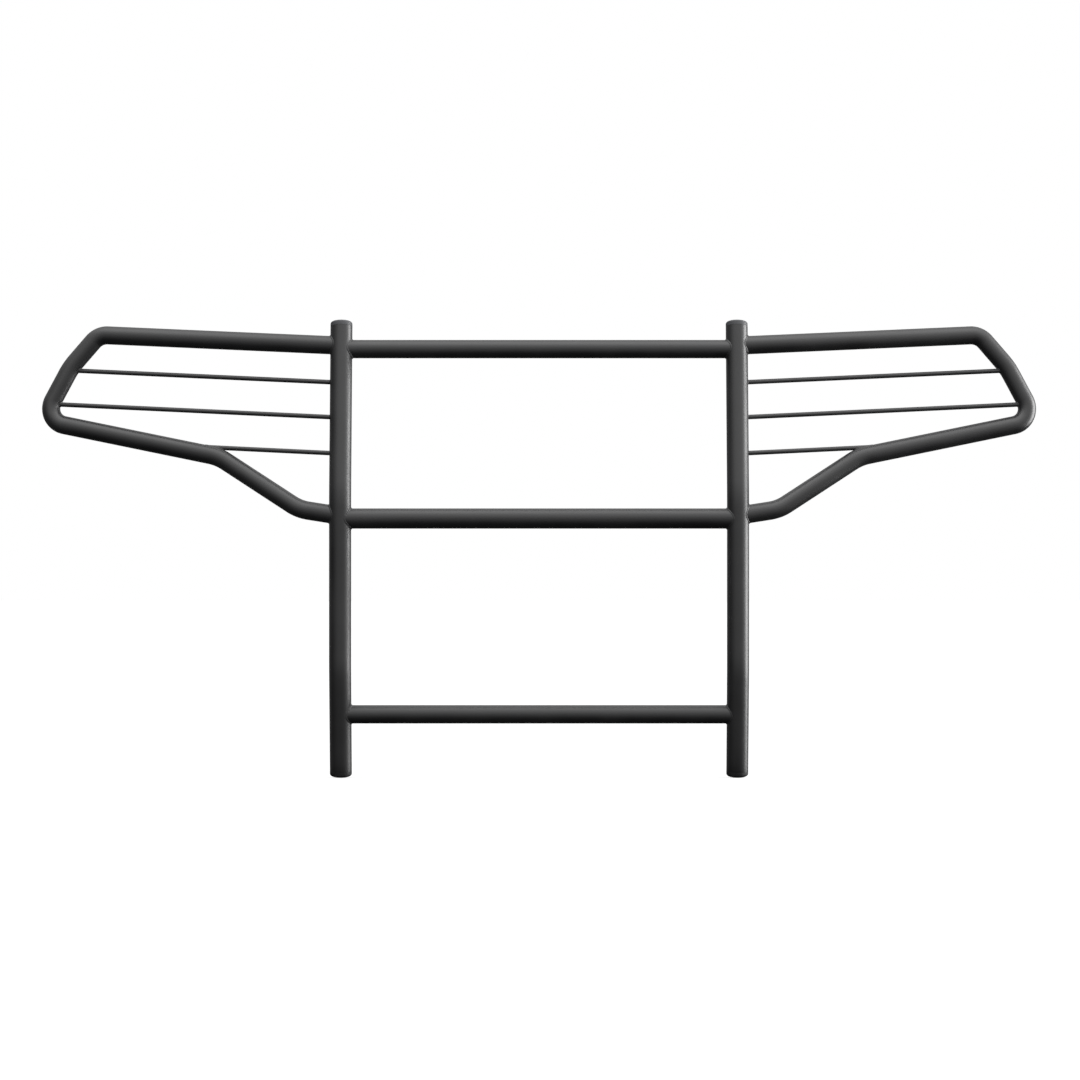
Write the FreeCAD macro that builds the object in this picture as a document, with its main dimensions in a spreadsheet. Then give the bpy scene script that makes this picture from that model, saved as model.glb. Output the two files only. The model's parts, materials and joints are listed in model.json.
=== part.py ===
import FreeCAD, Part
import math
import os

import Sketcher

# Front grille guard for a pick-up truck: two bent uprights, three cross tubes, and on each side a
# wing that is one continuous bent tube with three thin rods across it. Plastic caps close the
# uprights. A tab welded to the back of each upright carries a bolted frame bracket.
#
# Frame: +X to the right seen from the front, +Y towards the vehicle, +Z up, millimetres.
# Origin: the centre of the bottom of the whole guard's box.
# Only the right-hand pieces are drawn, and the left-hand ones are their mirror images.

DIMENSIONS = {
    # The whole guard
    "overall_depth": 230.0,  # from the front of the uprights to the rear edge of the frame brackets
    "upright_spacing": 686.0,  # between the axes of the two uprights
    # Uprights, from the bottom: a run that slants back, a vertical run and a run that leans back
    "upright_diameter": 38.1,
    "upright_wall": 2.5,
    "upright_bend_radius": 180.0,
    "foot_run": 160.6,
    "foot_slant": 13.0,
    "middle_run": 257.4,
    "head_lean": 14.0,
    "head_run": 278.7,
    # Cross tubes: the height of each axis above the bottom of the guard
    "cross_diameter": 31.8,
    "cross_diameter_middle": 34.9,
    "cross_wall": 2.5,
    "cross_height_top": 742.0,
    "cross_height_middle": 448.0,
    "cross_height_lower": 110.0,
    # Wings: the plane they lie in, then the bent tube's straight runs and bends in that plane, from
    # the top of the upright outwards along the rail, round the outer end and back to the upright
    "wing_diameter": 31.8,
    "wing_wall": 2.5,
    "wing_height": 748.1,  # where the rail's axis meets the upright's axis
    "wing_foot_height": 453.0,  # where the tube's other end meets it
    "wing_sweep": 12.0,
    "wing_rise": 2.9,
    "wing_run_rail": 422.3,
    "crown_turn": 53.7,
    "crown_radius": 32.0,
    "wing_run_shoulder": 44.6,
    "shoulder_turn": 13.5,
    "shoulder_radius": 120.0,
    "wing_run_outer": 50.7,
    "heel_turn": 104.2,
    "heel_radius": 32.0,
    "wing_run_lower": 271.7,
    "waist_turn": 20.6,
    "waist_radius": 90.0,
    "wing_run_diagonal": 142.9,
    "knee_turn": 23.2,
    "knee_radius": 80.0,
    "wing_run_end": 60.7,
    # Rods, parallel to the rail and below it
    "rod_diameter": 8.0,
    "rod_drop_upper": 65.8,
    "rod_drop_middle": 127.7,
    "rod_drop_lower": 191.4,
    "rod_reach_upper": 485.0,  # along the rail, to inside the bent tube
    "rod_reach_middle": 511.0,
    "rod_reach_lower": 262.0,
    # End caps
    "cap_flange": 9.0,
    "cap_edge_radius": 4.0,
    "cap_roof": 4.0,  # between the top of the flange and the hollow under it
    "cap_shank_length": 22.0,
    "cap_shank_wall": 2.5,
    "cap_fin_depth": 0.9,
    "cap_fin_pitch": 6.0,
    # Mounting tabs: plates edge-on to the front, welded to the back of the vertical run
    "plate_thickness": 6.0,
    "tab_height": 325.0,  # of the tab's centre above the bottom of the guard
    "tab_reach": 62.0,  # from the upright's axis to the tab's rear edge
    "tab_length": 170.0,
    "tab_corner_radius": 12.0,
    "tab_hole_reach": 42.0,
    "tab_hole_spacing": 110.0,
    "tab_hole_diameter": 11.0,
    # Frame brackets: a deep front end over the tab, and a rear end that is set lower
    "bracket_front_reach": 26.0,
    "bracket_front_length": 160.0,
    "bracket_front_end": 95.0,
    "bracket_rear_start": 150.0,
    "bracket_rear_length": 150.0,
    "bracket_rear_drop": 40.0,
    "bracket_corner_radius": 14.0,
    "frame_hole_inset": 26.0,  # from the rear edge
    "frame_hole_spacing": 95.0,
    "frame_hole_diameter": 13.0,
    # M10 bolts, washers and nuts
    "bolt_diameter": 10.0,
    "bolt_head_width": 16.0,
    "bolt_head_height": 6.4,
    "bolt_length": 26.0,
    "bolt_tip_chamfer": 1.0,
    "nut_height": 8.4,
    "nut_clearance": 0.1,
    "washer_diameter": 20.0,
    "washer_hole_diameter": 10.5,
    "washer_thickness": 2.0,
}

doc = FreeCAD.newDocument("grille_guard")
sheet = doc.addObject("Spreadsheet::Sheet", "Dims")
for row, (alias, number) in enumerate(DIMENSIONS.items(), start=1):
    sheet.set(f"A{row}", alias)
    sheet.set(f"B{row}", str(number))
    sheet.setAlias(f"B{row}", alias)
doc.recompute()


def value(expression):
    """Work out an expression over the sheet's aliases and return it as a plain number."""
    result = sheet.evalExpression(expression)
    return float(getattr(result, "Value", result))


# ---------------------------------------------------------------- bodies, sketches and features


def new_body(name, position, rotation=FreeCAD.Rotation()):
    body = doc.addObject("PartDesign::Body", name)
    body.Placement = FreeCAD.Placement(position, rotation)
    return body


def new_sketch(body, name, role):
    """Add a sketch on the body's own origin plane with this role, such as XY_Plane."""
    plane = next(feature for feature in body.Origin.OriginFeatures if feature.Role == role)
    sketch = body.newObject("Sketcher::SketchObject", name)
    sketch.AttachmentSupport = [(plane, "")]
    sketch.MapMode = "FlatFace"
    return sketch


def bind(sketch, kind, elements, expression):
    """Add a dimension between elements and bind its value to an expression over the sheet."""
    number = value(expression)
    if kind == "Angle":
        number = math.radians(number)
    index = sketch.addConstraint(Sketcher.Constraint(kind, *elements, number))
    name = f"size_{index}"
    sketch.renameConstraint(index, name)
    sketch.setExpression(f"Constraints.{name}", expression)


def pin(sketch, element, end, across, up):
    """Hold one point at the expressions across and up from the sketch's origin."""
    for kind, axis, expression in (("DistanceX", -2, across), ("DistanceY", -1, up)):
        number = value(expression)
        if abs(number) < 1e-9:
            sketch.addConstraint(Sketcher.Constraint("PointOnObject", element, end, axis))
        elif number > 0:
            bind(sketch, kind, (-1, 1, element, end), expression)
        else:
            bind(sketch, kind, (element, end, -1, 1), f"-({expression})")


def circle(sketch, diameter, across="0", up="0"):
    centre = FreeCAD.Vector(value(across), value(up), 0)
    index = sketch.addGeometry(
        Part.Circle(centre, FreeCAD.Vector(0, 0, 1), value(diameter) / 2)
    )
    pin(sketch, index, 3, across, up)
    bind(sketch, "Diameter", (index,), diameter)


def outline(sketch, corners):
    """Draw a closed outline of straight lines with every corner bound to the sheet."""
    points = [FreeCAD.Vector(value(across), value(up), 0) for across, up in corners]
    lines = [
        sketch.addGeometry(Part.LineSegment(start, end))
        for start, end in zip(points, points[1:] + points[:1])
    ]
    for line, following in zip(lines, lines[1:] + lines[:1]):
        sketch.addConstraint(Sketcher.Constraint("Coincident", line, 2, following, 1))
    for line, (across, up) in zip(lines, corners):
        pin(sketch, line, 1, across, up)


def hexagon(sketch, width):
    """Draw a hexagon of this width across flats about the sketch's origin."""
    radius = f"{width} / 2 / cos(30)"
    corners = [(f"{radius} * cos({turn})", f"{radius} * sin({turn})") for turn in range(0, 360, 60)]
    outline(sketch, corners)


def walk(runs, bends, heading):
    """Follow a bent tube's axis from the origin of its sketch.

    runs are the straight lengths, and bends the (turn, radius) pairs between them, with a positive
    turn to the left. Returns each run's two ends, and each bend's arc, drawn anticlockwise.
    """
    point, angle = FreeCAD.Vector(0, 0, 0), math.radians(heading)
    ends, arcs = [], []
    for run, bend in zip(runs, bends + [None]):
        along = FreeCAD.Vector(math.cos(angle), math.sin(angle), 0)
        ends.append((point, point + along * value(run)))
        if bend:
            turn, radius = math.radians(value(bend[0])), value(bend[1])
            side = math.copysign(math.pi / 2, turn)
            centre = ends[-1][1] + polar(radius, angle + side)
            point = centre + polar(radius, angle + turn - side)
            first, last = sorted((angle - side, angle + turn - side))
            around = Part.Circle(centre, FreeCAD.Vector(0, 0, 1), radius)
            arcs.append(Part.ArcOfCircle(around, first, last))
            angle += turn
    return ends, arcs


def polar(radius, angle):
    return FreeCAD.Vector(radius * math.cos(angle), radius * math.sin(angle), 0)


def bent_path(sketch, runs, bends, heading):
    """Draw a bent tube's axis: straight runs of bound length, joined by bound tangent arcs."""
    ends, arcs = walk(runs, bends, heading)
    lines = [sketch.addGeometry(Part.LineSegment(*pair)) for pair in ends]
    sketch.addConstraint(Sketcher.Constraint("Coincident", lines[0], 1, -1, 1))
    direction = "Horizontal" if heading == 0 else "Vertical"
    sketch.addConstraint(Sketcher.Constraint(direction, lines[0]))
    for line, run in zip(lines, runs):
        bind(sketch, "Distance", (line,), run)
    for line, following, arc, (turn, radius) in zip(lines, lines[1:], arcs, bends):
        bend = sketch.addGeometry(arc)
        # The arc is anticlockwise, so a turn to the right meets its second end first.
        left = value(turn) > 0
        near, far = (1, 2) if left else (2, 1)
        sketch.addConstraint(Sketcher.Constraint("Tangent", line, 2, bend, near))
        sketch.addConstraint(Sketcher.Constraint("Tangent", bend, far, following, 1))
        bind(sketch, "Radius", (bend,), radius)
        bind(sketch, "Angle", (bend,), turn if left else f"-({turn})")


def pad(body, profile, length, symmetric=False, backwards=False):
    feature = body.newObject("PartDesign::Pad", f"{body.Name}_pad")
    feature.Profile = profile
    feature.setExpression("Length", length)
    feature.Midplane = symmetric
    feature.Reversed = backwards
    return feature


def pipe(body, profile, path):
    feature = body.newObject("PartDesign::AdditivePipe", f"{body.Name}_pipe")
    feature.Profile = profile
    edges = [f"Edge{number}" for number in range(1, len(path.Shape.Edges) + 1)]
    feature.Spine = (path, edges)
    feature.Transition = "Right corner"
    return feature


def cut(label, base, tools):
    """Cope a piece: take the solid outlines of the tubes it meets away from it."""
    tool = tools[0]
    if len(tools) > 1:
        tool = doc.addObject("Part::MultiFuse", f"{label}_tools")
        tool.Shapes = tools
    feature = doc.addObject("Part::Cut", label)
    feature.Base = base
    feature.Tool = tool
    return feature


def mirrored(source, name):
    """Make the left-hand twin of a right-hand object."""
    feature = doc.addObject("Part::Mirroring", name)
    feature.Source = source
    feature.Normal = FreeCAD.Vector(1, 0, 0)
    return feature


parts = []


def keep(feature, label):
    """Mark an object as one of the guard's pieces, under the name of its file."""
    feature.Label = label
    parts.append(feature)
    return feature


def keep_pair(feature, label):
    keep(feature, f"{label}_right")
    keep(mirrored(feature, f"{label}_left_mirror"), f"{label}_left")


# ------------------------------------------------------------------------------ the main places

UPRIGHT_X = value("Dims.upright_spacing / 2")
UPRIGHT_Y = value("(Dims.upright_diameter - Dims.overall_depth) / 2")

# The foot of the tube stands clear of the ground by the cap's slanted, rounded flange.
FOOT_Z = value(
    "(Dims.cap_flange - Dims.cap_edge_radius) * cos(Dims.foot_slant)"
    " + (Dims.upright_diameter / 2 - Dims.cap_edge_radius) * sin(Dims.foot_slant)"
    " + Dims.cap_edge_radius"
)
FOOT_REACH = value("Dims.foot_run + Dims.upright_bend_radius * tan(Dims.foot_slant / 2)")
HEAD_REACH = value("Dims.head_run + Dims.upright_bend_radius * tan(Dims.head_lean / 2)")
LOWER_BEND_Z = FOOT_Z + FOOT_REACH * math.cos(math.radians(value("Dims.foot_slant")))
UPPER_BEND_Z = LOWER_BEND_Z + value(
    "Dims.middle_run"
    " + Dims.upright_bend_radius * (tan(Dims.foot_slant / 2) + tan(Dims.head_lean / 2))"
)
FOOT_TURN = FreeCAD.Rotation(FreeCAD.Vector(1, 0, 0), value("Dims.foot_slant"))
HEAD_TURN = FreeCAD.Rotation(FreeCAD.Vector(1, 0, 0), -value("Dims.head_lean"))


def upright_axis_y(height):
    """Return how far back the upright's axis is at a height, leaving its bends sharp."""
    above = max(0.0, height - UPPER_BEND_Z) * math.tan(math.radians(value("Dims.head_lean")))
    below = max(0.0, LOWER_BEND_Z - height) * math.tan(math.radians(value("Dims.foot_slant")))
    return UPRIGHT_Y + above + below


FOOT = FreeCAD.Vector(UPRIGHT_X, upright_axis_y(FOOT_Z), FOOT_Z)
HEAD_Z = UPPER_BEND_Z + HEAD_REACH * math.cos(math.radians(value("Dims.head_lean")))
HEAD = FreeCAD.Vector(UPRIGHT_X, upright_axis_y(HEAD_Z), HEAD_Z)
UPRIGHT_RUNS = ["Dims.foot_run", "Dims.middle_run", "Dims.head_run"]
UPRIGHT_BENDS = [
    ("-Dims.foot_slant", "Dims.upright_bend_radius"),
    ("-Dims.head_lean", "Dims.upright_bend_radius"),
]


# -------------------------------------------------------------------------------------- uprights


def upright_tube(name, diameters):
    """Pipe one or two circles up the upright's path: its wall, or its solid outline."""
    body = new_body(name, FOOT, FOOT_TURN)
    section = new_sketch(body, f"{name}_section", "XY_Plane")
    for diameter in diameters:
        circle(section, diameter)
    path = new_sketch(body, f"{name}_path", "YZ_Plane")
    bent_path(path, UPRIGHT_RUNS, UPRIGHT_BENDS, 90)
    doc.recompute()
    pipe(body, section, path)
    return body


upright = upright_tube(
    "upright", ["Dims.upright_diameter", "Dims.upright_diameter - 2 * Dims.upright_wall"]
)
upright_outline = upright_tube("upright_outline", ["Dims.upright_diameter"])
upright_outline_left = mirrored(upright_outline, "upright_outline_left")
keep_pair(upright, "upright")

# ----------------------------------------------------------------------------------- cross tubes


def cross_tube(place, diameter):
    """Make a straight tube between the uprights, coped round both of them."""
    height = value(f"Dims.cross_height_{place}")
    body = new_body(f"cross_{place}", FreeCAD.Vector(0, upright_axis_y(height), height))
    section = new_sketch(body, f"cross_{place}_section", "YZ_Plane")
    circle(section, diameter)
    circle(section, f"{diameter} - 2 * Dims.cross_wall")
    pad(body, section, "Dims.upright_spacing", symmetric=True)
    coped = cut(f"cross_{place}_coped", body, [upright_outline, upright_outline_left])
    keep(coped, f"cross_tube_{place}")


cross_tube("top", "Dims.cross_diameter")
cross_tube("middle", "Dims.cross_diameter_middle")
cross_tube("lower", "Dims.cross_diameter")

# ----------------------------------------------------------------------------------------- wings


def wing_placement():
    """Return the place of a wing's own frame: x out along the rail, y up in the wing's plane.

    The plane holds the two points where the tube meets the upright's axis, and it sweeps back
    outwards. The rail rises in it.
    """
    top = value("Dims.wing_height")
    bottom = value("Dims.wing_foot_height")
    start = FreeCAD.Vector(UPRIGHT_X, upright_axis_y(top), top)
    climb = start - FreeCAD.Vector(UPRIGHT_X, upright_axis_y(bottom), bottom)
    sweep = math.radians(value("Dims.wing_sweep"))
    level = FreeCAD.Vector(math.cos(sweep), math.sin(sweep), 0)
    upward = (climb - level * climb.dot(level)).normalize()
    rise = math.radians(value("Dims.wing_rise"))
    along = level * math.cos(rise) + upward * math.sin(rise)
    across = upward * math.cos(rise) - level * math.sin(rise)
    return start, FreeCAD.Rotation(along, across, along.cross(across), "XYZ")


WING_START, WING_TURN = wing_placement()
WING_RUNS = [f"Dims.wing_run_{run}" for run in ("rail", "shoulder", "outer", "lower", "diagonal", "end")]
WING_BENDS = [
    ("-Dims.crown_turn", "Dims.crown_radius"),
    ("-Dims.shoulder_turn", "Dims.shoulder_radius"),
    ("-Dims.heel_turn", "Dims.heel_radius"),
    ("Dims.waist_turn", "Dims.waist_radius"),
    ("-Dims.knee_turn", "Dims.knee_radius"),
]


def wing_tube(name, diameters):
    body = new_body(name, WING_START, WING_TURN)
    section = new_sketch(body, f"{name}_section", "YZ_Plane")
    for diameter in diameters:
        circle(section, diameter)
    path = new_sketch(body, f"{name}_path", "XY_Plane")
    bent_path(path, WING_RUNS, WING_BENDS, 0)
    doc.recompute()
    pipe(body, section, path)
    return body


wing = wing_tube("wing", ["Dims.wing_diameter", "Dims.wing_diameter - 2 * Dims.wing_wall"])
wing_outline = wing_tube("wing_outline", ["Dims.wing_diameter"])
keep_pair(cut("wing_coped", wing, [upright_outline]), "wing_tube")

for place in ("upper", "middle", "lower"):
    rod = new_body(f"rod_{place}", WING_START, WING_TURN)
    rod_section = new_sketch(rod, f"rod_{place}_section", "YZ_Plane")
    circle(rod_section, "Dims.rod_diameter", f"-Dims.rod_drop_{place}")
    pad(rod, rod_section, f"Dims.rod_reach_{place}")
    keep_pair(cut(f"rod_{place}_coped", rod, [upright_outline, wing_outline]), f"wing_rod_{place}")

# -------------------------------------------------------------------------------------- end caps


def end_cap(name, position, rotation):
    """Make a moulded cap: a domed flange as wide as the tube, and a hollow shank with fins."""
    body = new_body(name, position, rotation)
    profile = new_sketch(body, f"{name}_profile", "XZ_Plane")
    flange = "Dims.upright_diameter / 2"
    fin = "(Dims.upright_diameter / 2 - Dims.upright_wall)"
    shank = f"({fin} - Dims.cap_fin_depth)"
    hollow = f"({shank} - Dims.cap_shank_wall)"
    length = "Dims.cap_shank_length"
    corners = [("0", "Dims.cap_flange"), (flange, "Dims.cap_flange"), (flange, "0")]
    for count in range(3):
        top = f"-(2 + {count} * Dims.cap_fin_pitch)"
        corners += [(shank, "0") if count == 0 else (shank, f"{top} + 1"), (shank, top)]
        corners += [(fin, f"{top} - 1"), (shank, f"{top} - 2.5")]
    ceiling = "Dims.cap_flange - Dims.cap_roof"
    corners += [(shank, f"-{length}"), (hollow, f"-{length}"), (hollow, ceiling), ("0", ceiling)]
    outline(profile, corners)
    turned = body.newObject("PartDesign::Revolution", f"{name}_turned")
    turned.Profile = profile
    turned.ReferenceAxis = (profile, ["V_Axis"])
    turned.Angle = 360
    doc.recompute()
    rim = [
        f"Edge{index}"
        for index, edge in enumerate(turned.Shape.Edges, start=1)
        if len(edge.Vertexes) < 2
        and abs(edge.Curve.Radius - value(flange)) < 1e-6
        and edge.Curve.Center.z > value("Dims.cap_flange / 2")
    ]
    rounded = body.newObject("PartDesign::Fillet", f"{name}_rounded")
    rounded.Base = (turned, rim)
    rounded.setExpression("Radius", "Dims.cap_edge_radius")
    return body


keep_pair(end_cap("cap_top", HEAD, HEAD_TURN), "end_cap_top")
FOOT_CAP_TURN = FOOT_TURN.multiply(FreeCAD.Rotation(FreeCAD.Vector(1, 0, 0), 180))
keep_pair(end_cap("cap_bottom", FOOT, FOOT_CAP_TURN), "end_cap_bottom")

# ------------------------------------------------------------------ mounting tabs and brackets

TAB = FreeCAD.Vector(UPRIGHT_X, UPRIGHT_Y, value("Dims.tab_height"))


def round_corners(body, base, radius, chosen):
    """Round the upright plate's corners, the edges across its thickness, that chosen accepts."""
    doc.recompute()
    corners = [
        f"Edge{index}"
        for index, edge in enumerate(base.Shape.Edges, start=1)
        if len(edge.Vertexes) == 2
        and abs(edge.tangentAt(edge.FirstParameter).x) > 0.999
        and chosen(edge.Vertexes[0].Point)
    ]
    rounded = body.newObject("PartDesign::Fillet", f"{body.Name}_rounded")
    rounded.Base = (base, corners)
    rounded.setExpression("Radius", radius)


def plate(name, position, corners, holes, symmetric):
    """Pad a plate in the YZ plane, with holes given as (diameter, back, up)."""
    body = new_body(name, position)
    profile = new_sketch(body, f"{name}_profile", "YZ_Plane")
    outline(profile, corners)
    for hole in holes:
        circle(profile, *hole)
    return body, pad(body, profile, "Dims.plate_thickness", symmetric=symmetric)


TAB_HOLES = [
    ("Dims.tab_hole_diameter", "Dims.tab_hole_reach", f"{side} * Dims.tab_hole_spacing / 2")
    for side in (-1, 1)
]
tab, tab_pad = plate(
    "tab",
    TAB,
    [
        ("0", "-Dims.tab_length / 2"),
        ("Dims.tab_reach", "-Dims.tab_length / 2"),
        ("Dims.tab_reach", "Dims.tab_length / 2"),
        ("0", "Dims.tab_length / 2"),
    ],
    TAB_HOLES,
    symmetric=True,
)
round_corners(tab, tab_pad, "Dims.tab_corner_radius", lambda corner: corner.y > 1)
keep_pair(cut("tab_coped", tab, [upright_outline]), "mounting_tab")

REAR_EDGE = "(Dims.overall_depth - Dims.upright_diameter / 2)"
REAR_TOP = "(Dims.bracket_rear_length / 2 - Dims.bracket_rear_drop)"
REAR_BOTTOM = "(-Dims.bracket_rear_length / 2 - Dims.bracket_rear_drop)"
FRAME_HOLES = [
    (
        "Dims.frame_hole_diameter",
        f"{REAR_EDGE} - Dims.frame_hole_inset",
        f"{side} * Dims.frame_hole_spacing / 2 - Dims.bracket_rear_drop",
    )
    for side in (-1, 1)
]
bracket, bracket_pad = plate(
    "bracket",
    TAB + FreeCAD.Vector(value("Dims.plate_thickness / 2"), 0, 0),
    [
        ("Dims.bracket_front_reach", "-Dims.bracket_front_length / 2"),
        ("Dims.bracket_front_end", "-Dims.bracket_front_length / 2"),
        ("Dims.bracket_rear_start", REAR_BOTTOM),
        (REAR_EDGE, REAR_BOTTOM),
        (REAR_EDGE, REAR_TOP),
        ("Dims.bracket_rear_start", REAR_TOP),
        ("Dims.bracket_front_end", "Dims.bracket_front_length / 2"),
        ("Dims.bracket_front_reach", "Dims.bracket_front_length / 2"),
    ],
    TAB_HOLES + FRAME_HOLES,
    symmetric=False,
)
round_corners(bracket, bracket_pad, "Dims.bracket_corner_radius", lambda corner: True)
keep_pair(bracket, "frame_bracket")

# ------------------------------------------------------------------------------------- fasteners


def bolt(name, position):
    """Make a hexagon-head bolt: the head to +X of its place, the shank to -X."""
    body = new_body(name, position)
    head = new_sketch(body, f"{name}_head", "YZ_Plane")
    hexagon(head, "Dims.bolt_head_width")
    pad(body, head, "Dims.bolt_head_height")
    section = new_sketch(body, f"{name}_section", "YZ_Plane")
    circle(section, "Dims.bolt_diameter")
    shank = pad(body, section, "Dims.bolt_length", backwards=True)
    doc.recompute()
    tip = body.newObject("PartDesign::Chamfer", f"{name}_tip")
    tip_x = -value("Dims.bolt_length")
    tip.Base = (
        shank,
        [
            f"Edge{index}"
            for index, edge in enumerate(shank.Shape.Edges, start=1)
            if all(abs(vertex.X - tip_x) < 1e-6 for vertex in edge.Vertexes)
        ],
    )
    tip.setExpression("Size", "Dims.bolt_tip_chamfer")
    return body


def washer(name, position):
    body = new_body(name, position)
    section = new_sketch(body, f"{name}_section", "YZ_Plane")
    circle(section, "Dims.washer_diameter")
    circle(section, "Dims.washer_hole_diameter")
    pad(body, section, "Dims.washer_thickness")
    return body


def nut(name, position):
    body = new_body(name, position)
    section = new_sketch(body, f"{name}_section", "YZ_Plane")
    hexagon(section, "Dims.bolt_head_width")
    circle(section, "Dims.bolt_diameter + Dims.nut_clearance")
    pad(body, section, "Dims.nut_height")
    return body


def fasteners(label, make, across):
    """Group one piece for each tab bolt, with its near face this far outboard of the tab's middle."""
    pieces = []
    for hole, (_, back, up) in enumerate(TAB_HOLES):
        place = TAB + FreeCAD.Vector(value(across), value(back), value(up))
        right = make(f"{label}_{hole}", place)
        pieces += [right, mirrored(right, f"{label}_{hole}_left")]
    return pieces


def group(label, pieces):
    compound = doc.addObject("Part::Compound", label)
    compound.Links = pieces
    keep(compound, label)


OUTER_FACE = "1.5 * Dims.plate_thickness"
INNER_FACE = "(-0.5 * Dims.plate_thickness - Dims.washer_thickness)"
group("tab_bolts", fasteners("bolt", bolt, f"{OUTER_FACE} + Dims.washer_thickness"))
group(
    "tab_washers",
    fasteners("washer_outer", washer, OUTER_FACE) + fasteners("washer_inner", washer, INNER_FACE),
)
group("tab_nuts", fasteners("nut", nut, f"{INNER_FACE} - Dims.nut_height"))

# ------------------------------------------------------------------------------ check and export

doc.recompute()
failed = [item.Name for item in doc.Objects if {"Invalid", "Error"} & set(item.State)]
if failed:
    raise RuntimeError(f"failed objects: {failed}")
for part in parts:
    shape = part.Shape
    if shape.isNull() or not shape.isValid() or shape.Volume <= 0:
        raise RuntimeError(f"{part.Label} has no valid solid")

os.makedirs("parts", exist_ok=True)
for part in parts:
    part.Shape.exportStep(f"parts/{part.Label}.step")
    print(f"{part.Label}: {len(part.Shape.Solids)} solid(s), {part.Shape.Volume / 1000:.1f} cm3")
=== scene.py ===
import json
import logging
import math
from dataclasses import dataclass, field, replace
from enum import Enum
from typing import ClassVar, Optional, Sequence

import bmesh
import bpy
import numpy as np
from mathutils import Matrix, Vector


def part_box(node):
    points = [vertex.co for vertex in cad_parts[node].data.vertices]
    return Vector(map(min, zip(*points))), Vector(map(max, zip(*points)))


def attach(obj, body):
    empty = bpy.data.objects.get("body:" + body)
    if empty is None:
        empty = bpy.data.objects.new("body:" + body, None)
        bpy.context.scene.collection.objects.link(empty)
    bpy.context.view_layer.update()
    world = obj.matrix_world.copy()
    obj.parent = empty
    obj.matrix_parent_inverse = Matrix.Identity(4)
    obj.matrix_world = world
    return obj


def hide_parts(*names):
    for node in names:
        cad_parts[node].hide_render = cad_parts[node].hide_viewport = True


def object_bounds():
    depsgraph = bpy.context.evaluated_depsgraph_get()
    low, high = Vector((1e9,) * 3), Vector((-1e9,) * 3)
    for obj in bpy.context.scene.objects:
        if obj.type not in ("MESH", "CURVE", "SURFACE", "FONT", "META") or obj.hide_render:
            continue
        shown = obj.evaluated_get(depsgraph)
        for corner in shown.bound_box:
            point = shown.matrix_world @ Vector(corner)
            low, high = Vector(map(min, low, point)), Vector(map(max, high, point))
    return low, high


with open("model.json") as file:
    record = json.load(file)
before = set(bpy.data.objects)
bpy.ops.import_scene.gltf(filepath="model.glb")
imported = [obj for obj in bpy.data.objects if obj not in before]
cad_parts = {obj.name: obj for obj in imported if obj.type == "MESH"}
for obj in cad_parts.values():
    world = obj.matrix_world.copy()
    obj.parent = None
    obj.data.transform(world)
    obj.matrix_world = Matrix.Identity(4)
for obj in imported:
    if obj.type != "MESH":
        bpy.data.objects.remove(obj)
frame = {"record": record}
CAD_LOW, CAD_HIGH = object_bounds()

# A front grille guard for a pick-up truck: coated steel tubes welded into one frame, with moulded
# plastic plugs in the uprights and plated fasteners behind them. Every length is in millimetres
# until a mesh is made, and every piece rides on the one body, root.

MM = 0.001
BODY = "root"
UP = np.array((0.0, 0.0, 1.0))
RIGHT = np.array((1.0, 0.0, 0.0))
log = logging.getLogger("grille_guard")

Array = np.ndarray
Piece = bpy.types.Object
Tree = bpy.types.NodeTree
Socket = bpy.types.NodeSocket


class Side(Enum):
    """Which half of the guard a piece belongs to; the value multiplies its x."""

    RIGHT = 1
    LEFT = -1

    @property
    def word(self) -> str:
        """The side's name as the pieces are called."""
        return self.name.lower()


def unit(vector: Array) -> Array:
    """Return a vector of length one along another."""
    return vector / np.linalg.norm(vector)


def node_box(node: str) -> tuple[Array, Array]:
    """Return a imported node's lowest and highest corners in millimetres."""
    low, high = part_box(node)
    return np.array(low) / MM, np.array(high) / MM


# ------------------------------------------------------------------------------------ materials


def linear(code: str) -> tuple[float, float, float, float]:
    """Turn an sRGB hex colour into linear light.

    Args:
        code: Six hex digits after a hash sign.

    Returns:
        Red, green, blue and an alpha of one.
    """
    parts = [int(code[start : start + 2], 16) / 255 for start in (1, 3, 5)]
    light = [part / 12.92 if part <= 0.04045 else ((part + 0.055) / 1.055) ** 2.4 for part in parts]
    return (*light, 1.0)


def add_node(
    tree: Tree,
    kind: str,
    settings: Optional[dict] = None,
    values: Optional[dict] = None,
    links: Optional[dict] = None,
) -> bpy.types.Node:
    """Add one node to a tree.

    Args:
        tree: The tree that gets the node.
        kind: The node's type name.
        settings: Attributes of the node itself.
        values: Input socket name or index to its own value.
        links: Input socket name or index to the output socket that feeds it.

    Returns:
        The new node.
    """
    node = tree.nodes.new(kind)
    for name, value in (settings or {}).items():
        setattr(node, name, value)
    for name, value in (values or {}).items():
        node.inputs[name].default_value = value
    for name, source in (links or {}).items():
        tree.links.new(source, node.inputs[name])
    return node


def blank_material(name: str) -> bpy.types.Material:
    """Start a material.

    Args:
        name: The material's name.

    Returns:
        The material, whose tree is empty.
    """
    material = bpy.data.materials.new(name)
    material.use_nodes = True
    material.node_tree.nodes.clear()
    return material


@dataclass(frozen=True)
class Blotches:
    """A noise over the guard.

    Attributes:
        size_mm: How many millimetres its blotches are across.
        detail: How many finer layers it has.
        depth_mm: The height that it stands for where it is a relief.
    """

    size_mm: float
    detail: float = 2.0
    depth_mm: float = 0.0

    def draw(self, tree: Tree, place: Socket) -> Socket:
        """Return the noise, from 0 to 1, at a place in metres."""
        values = {"Scale": 1 / (self.size_mm * MM), "Detail": self.detail}
        return add_node(tree, "ShaderNodeTexNoise", values=values, links={"Vector": place}).outputs["Fac"]


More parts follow.
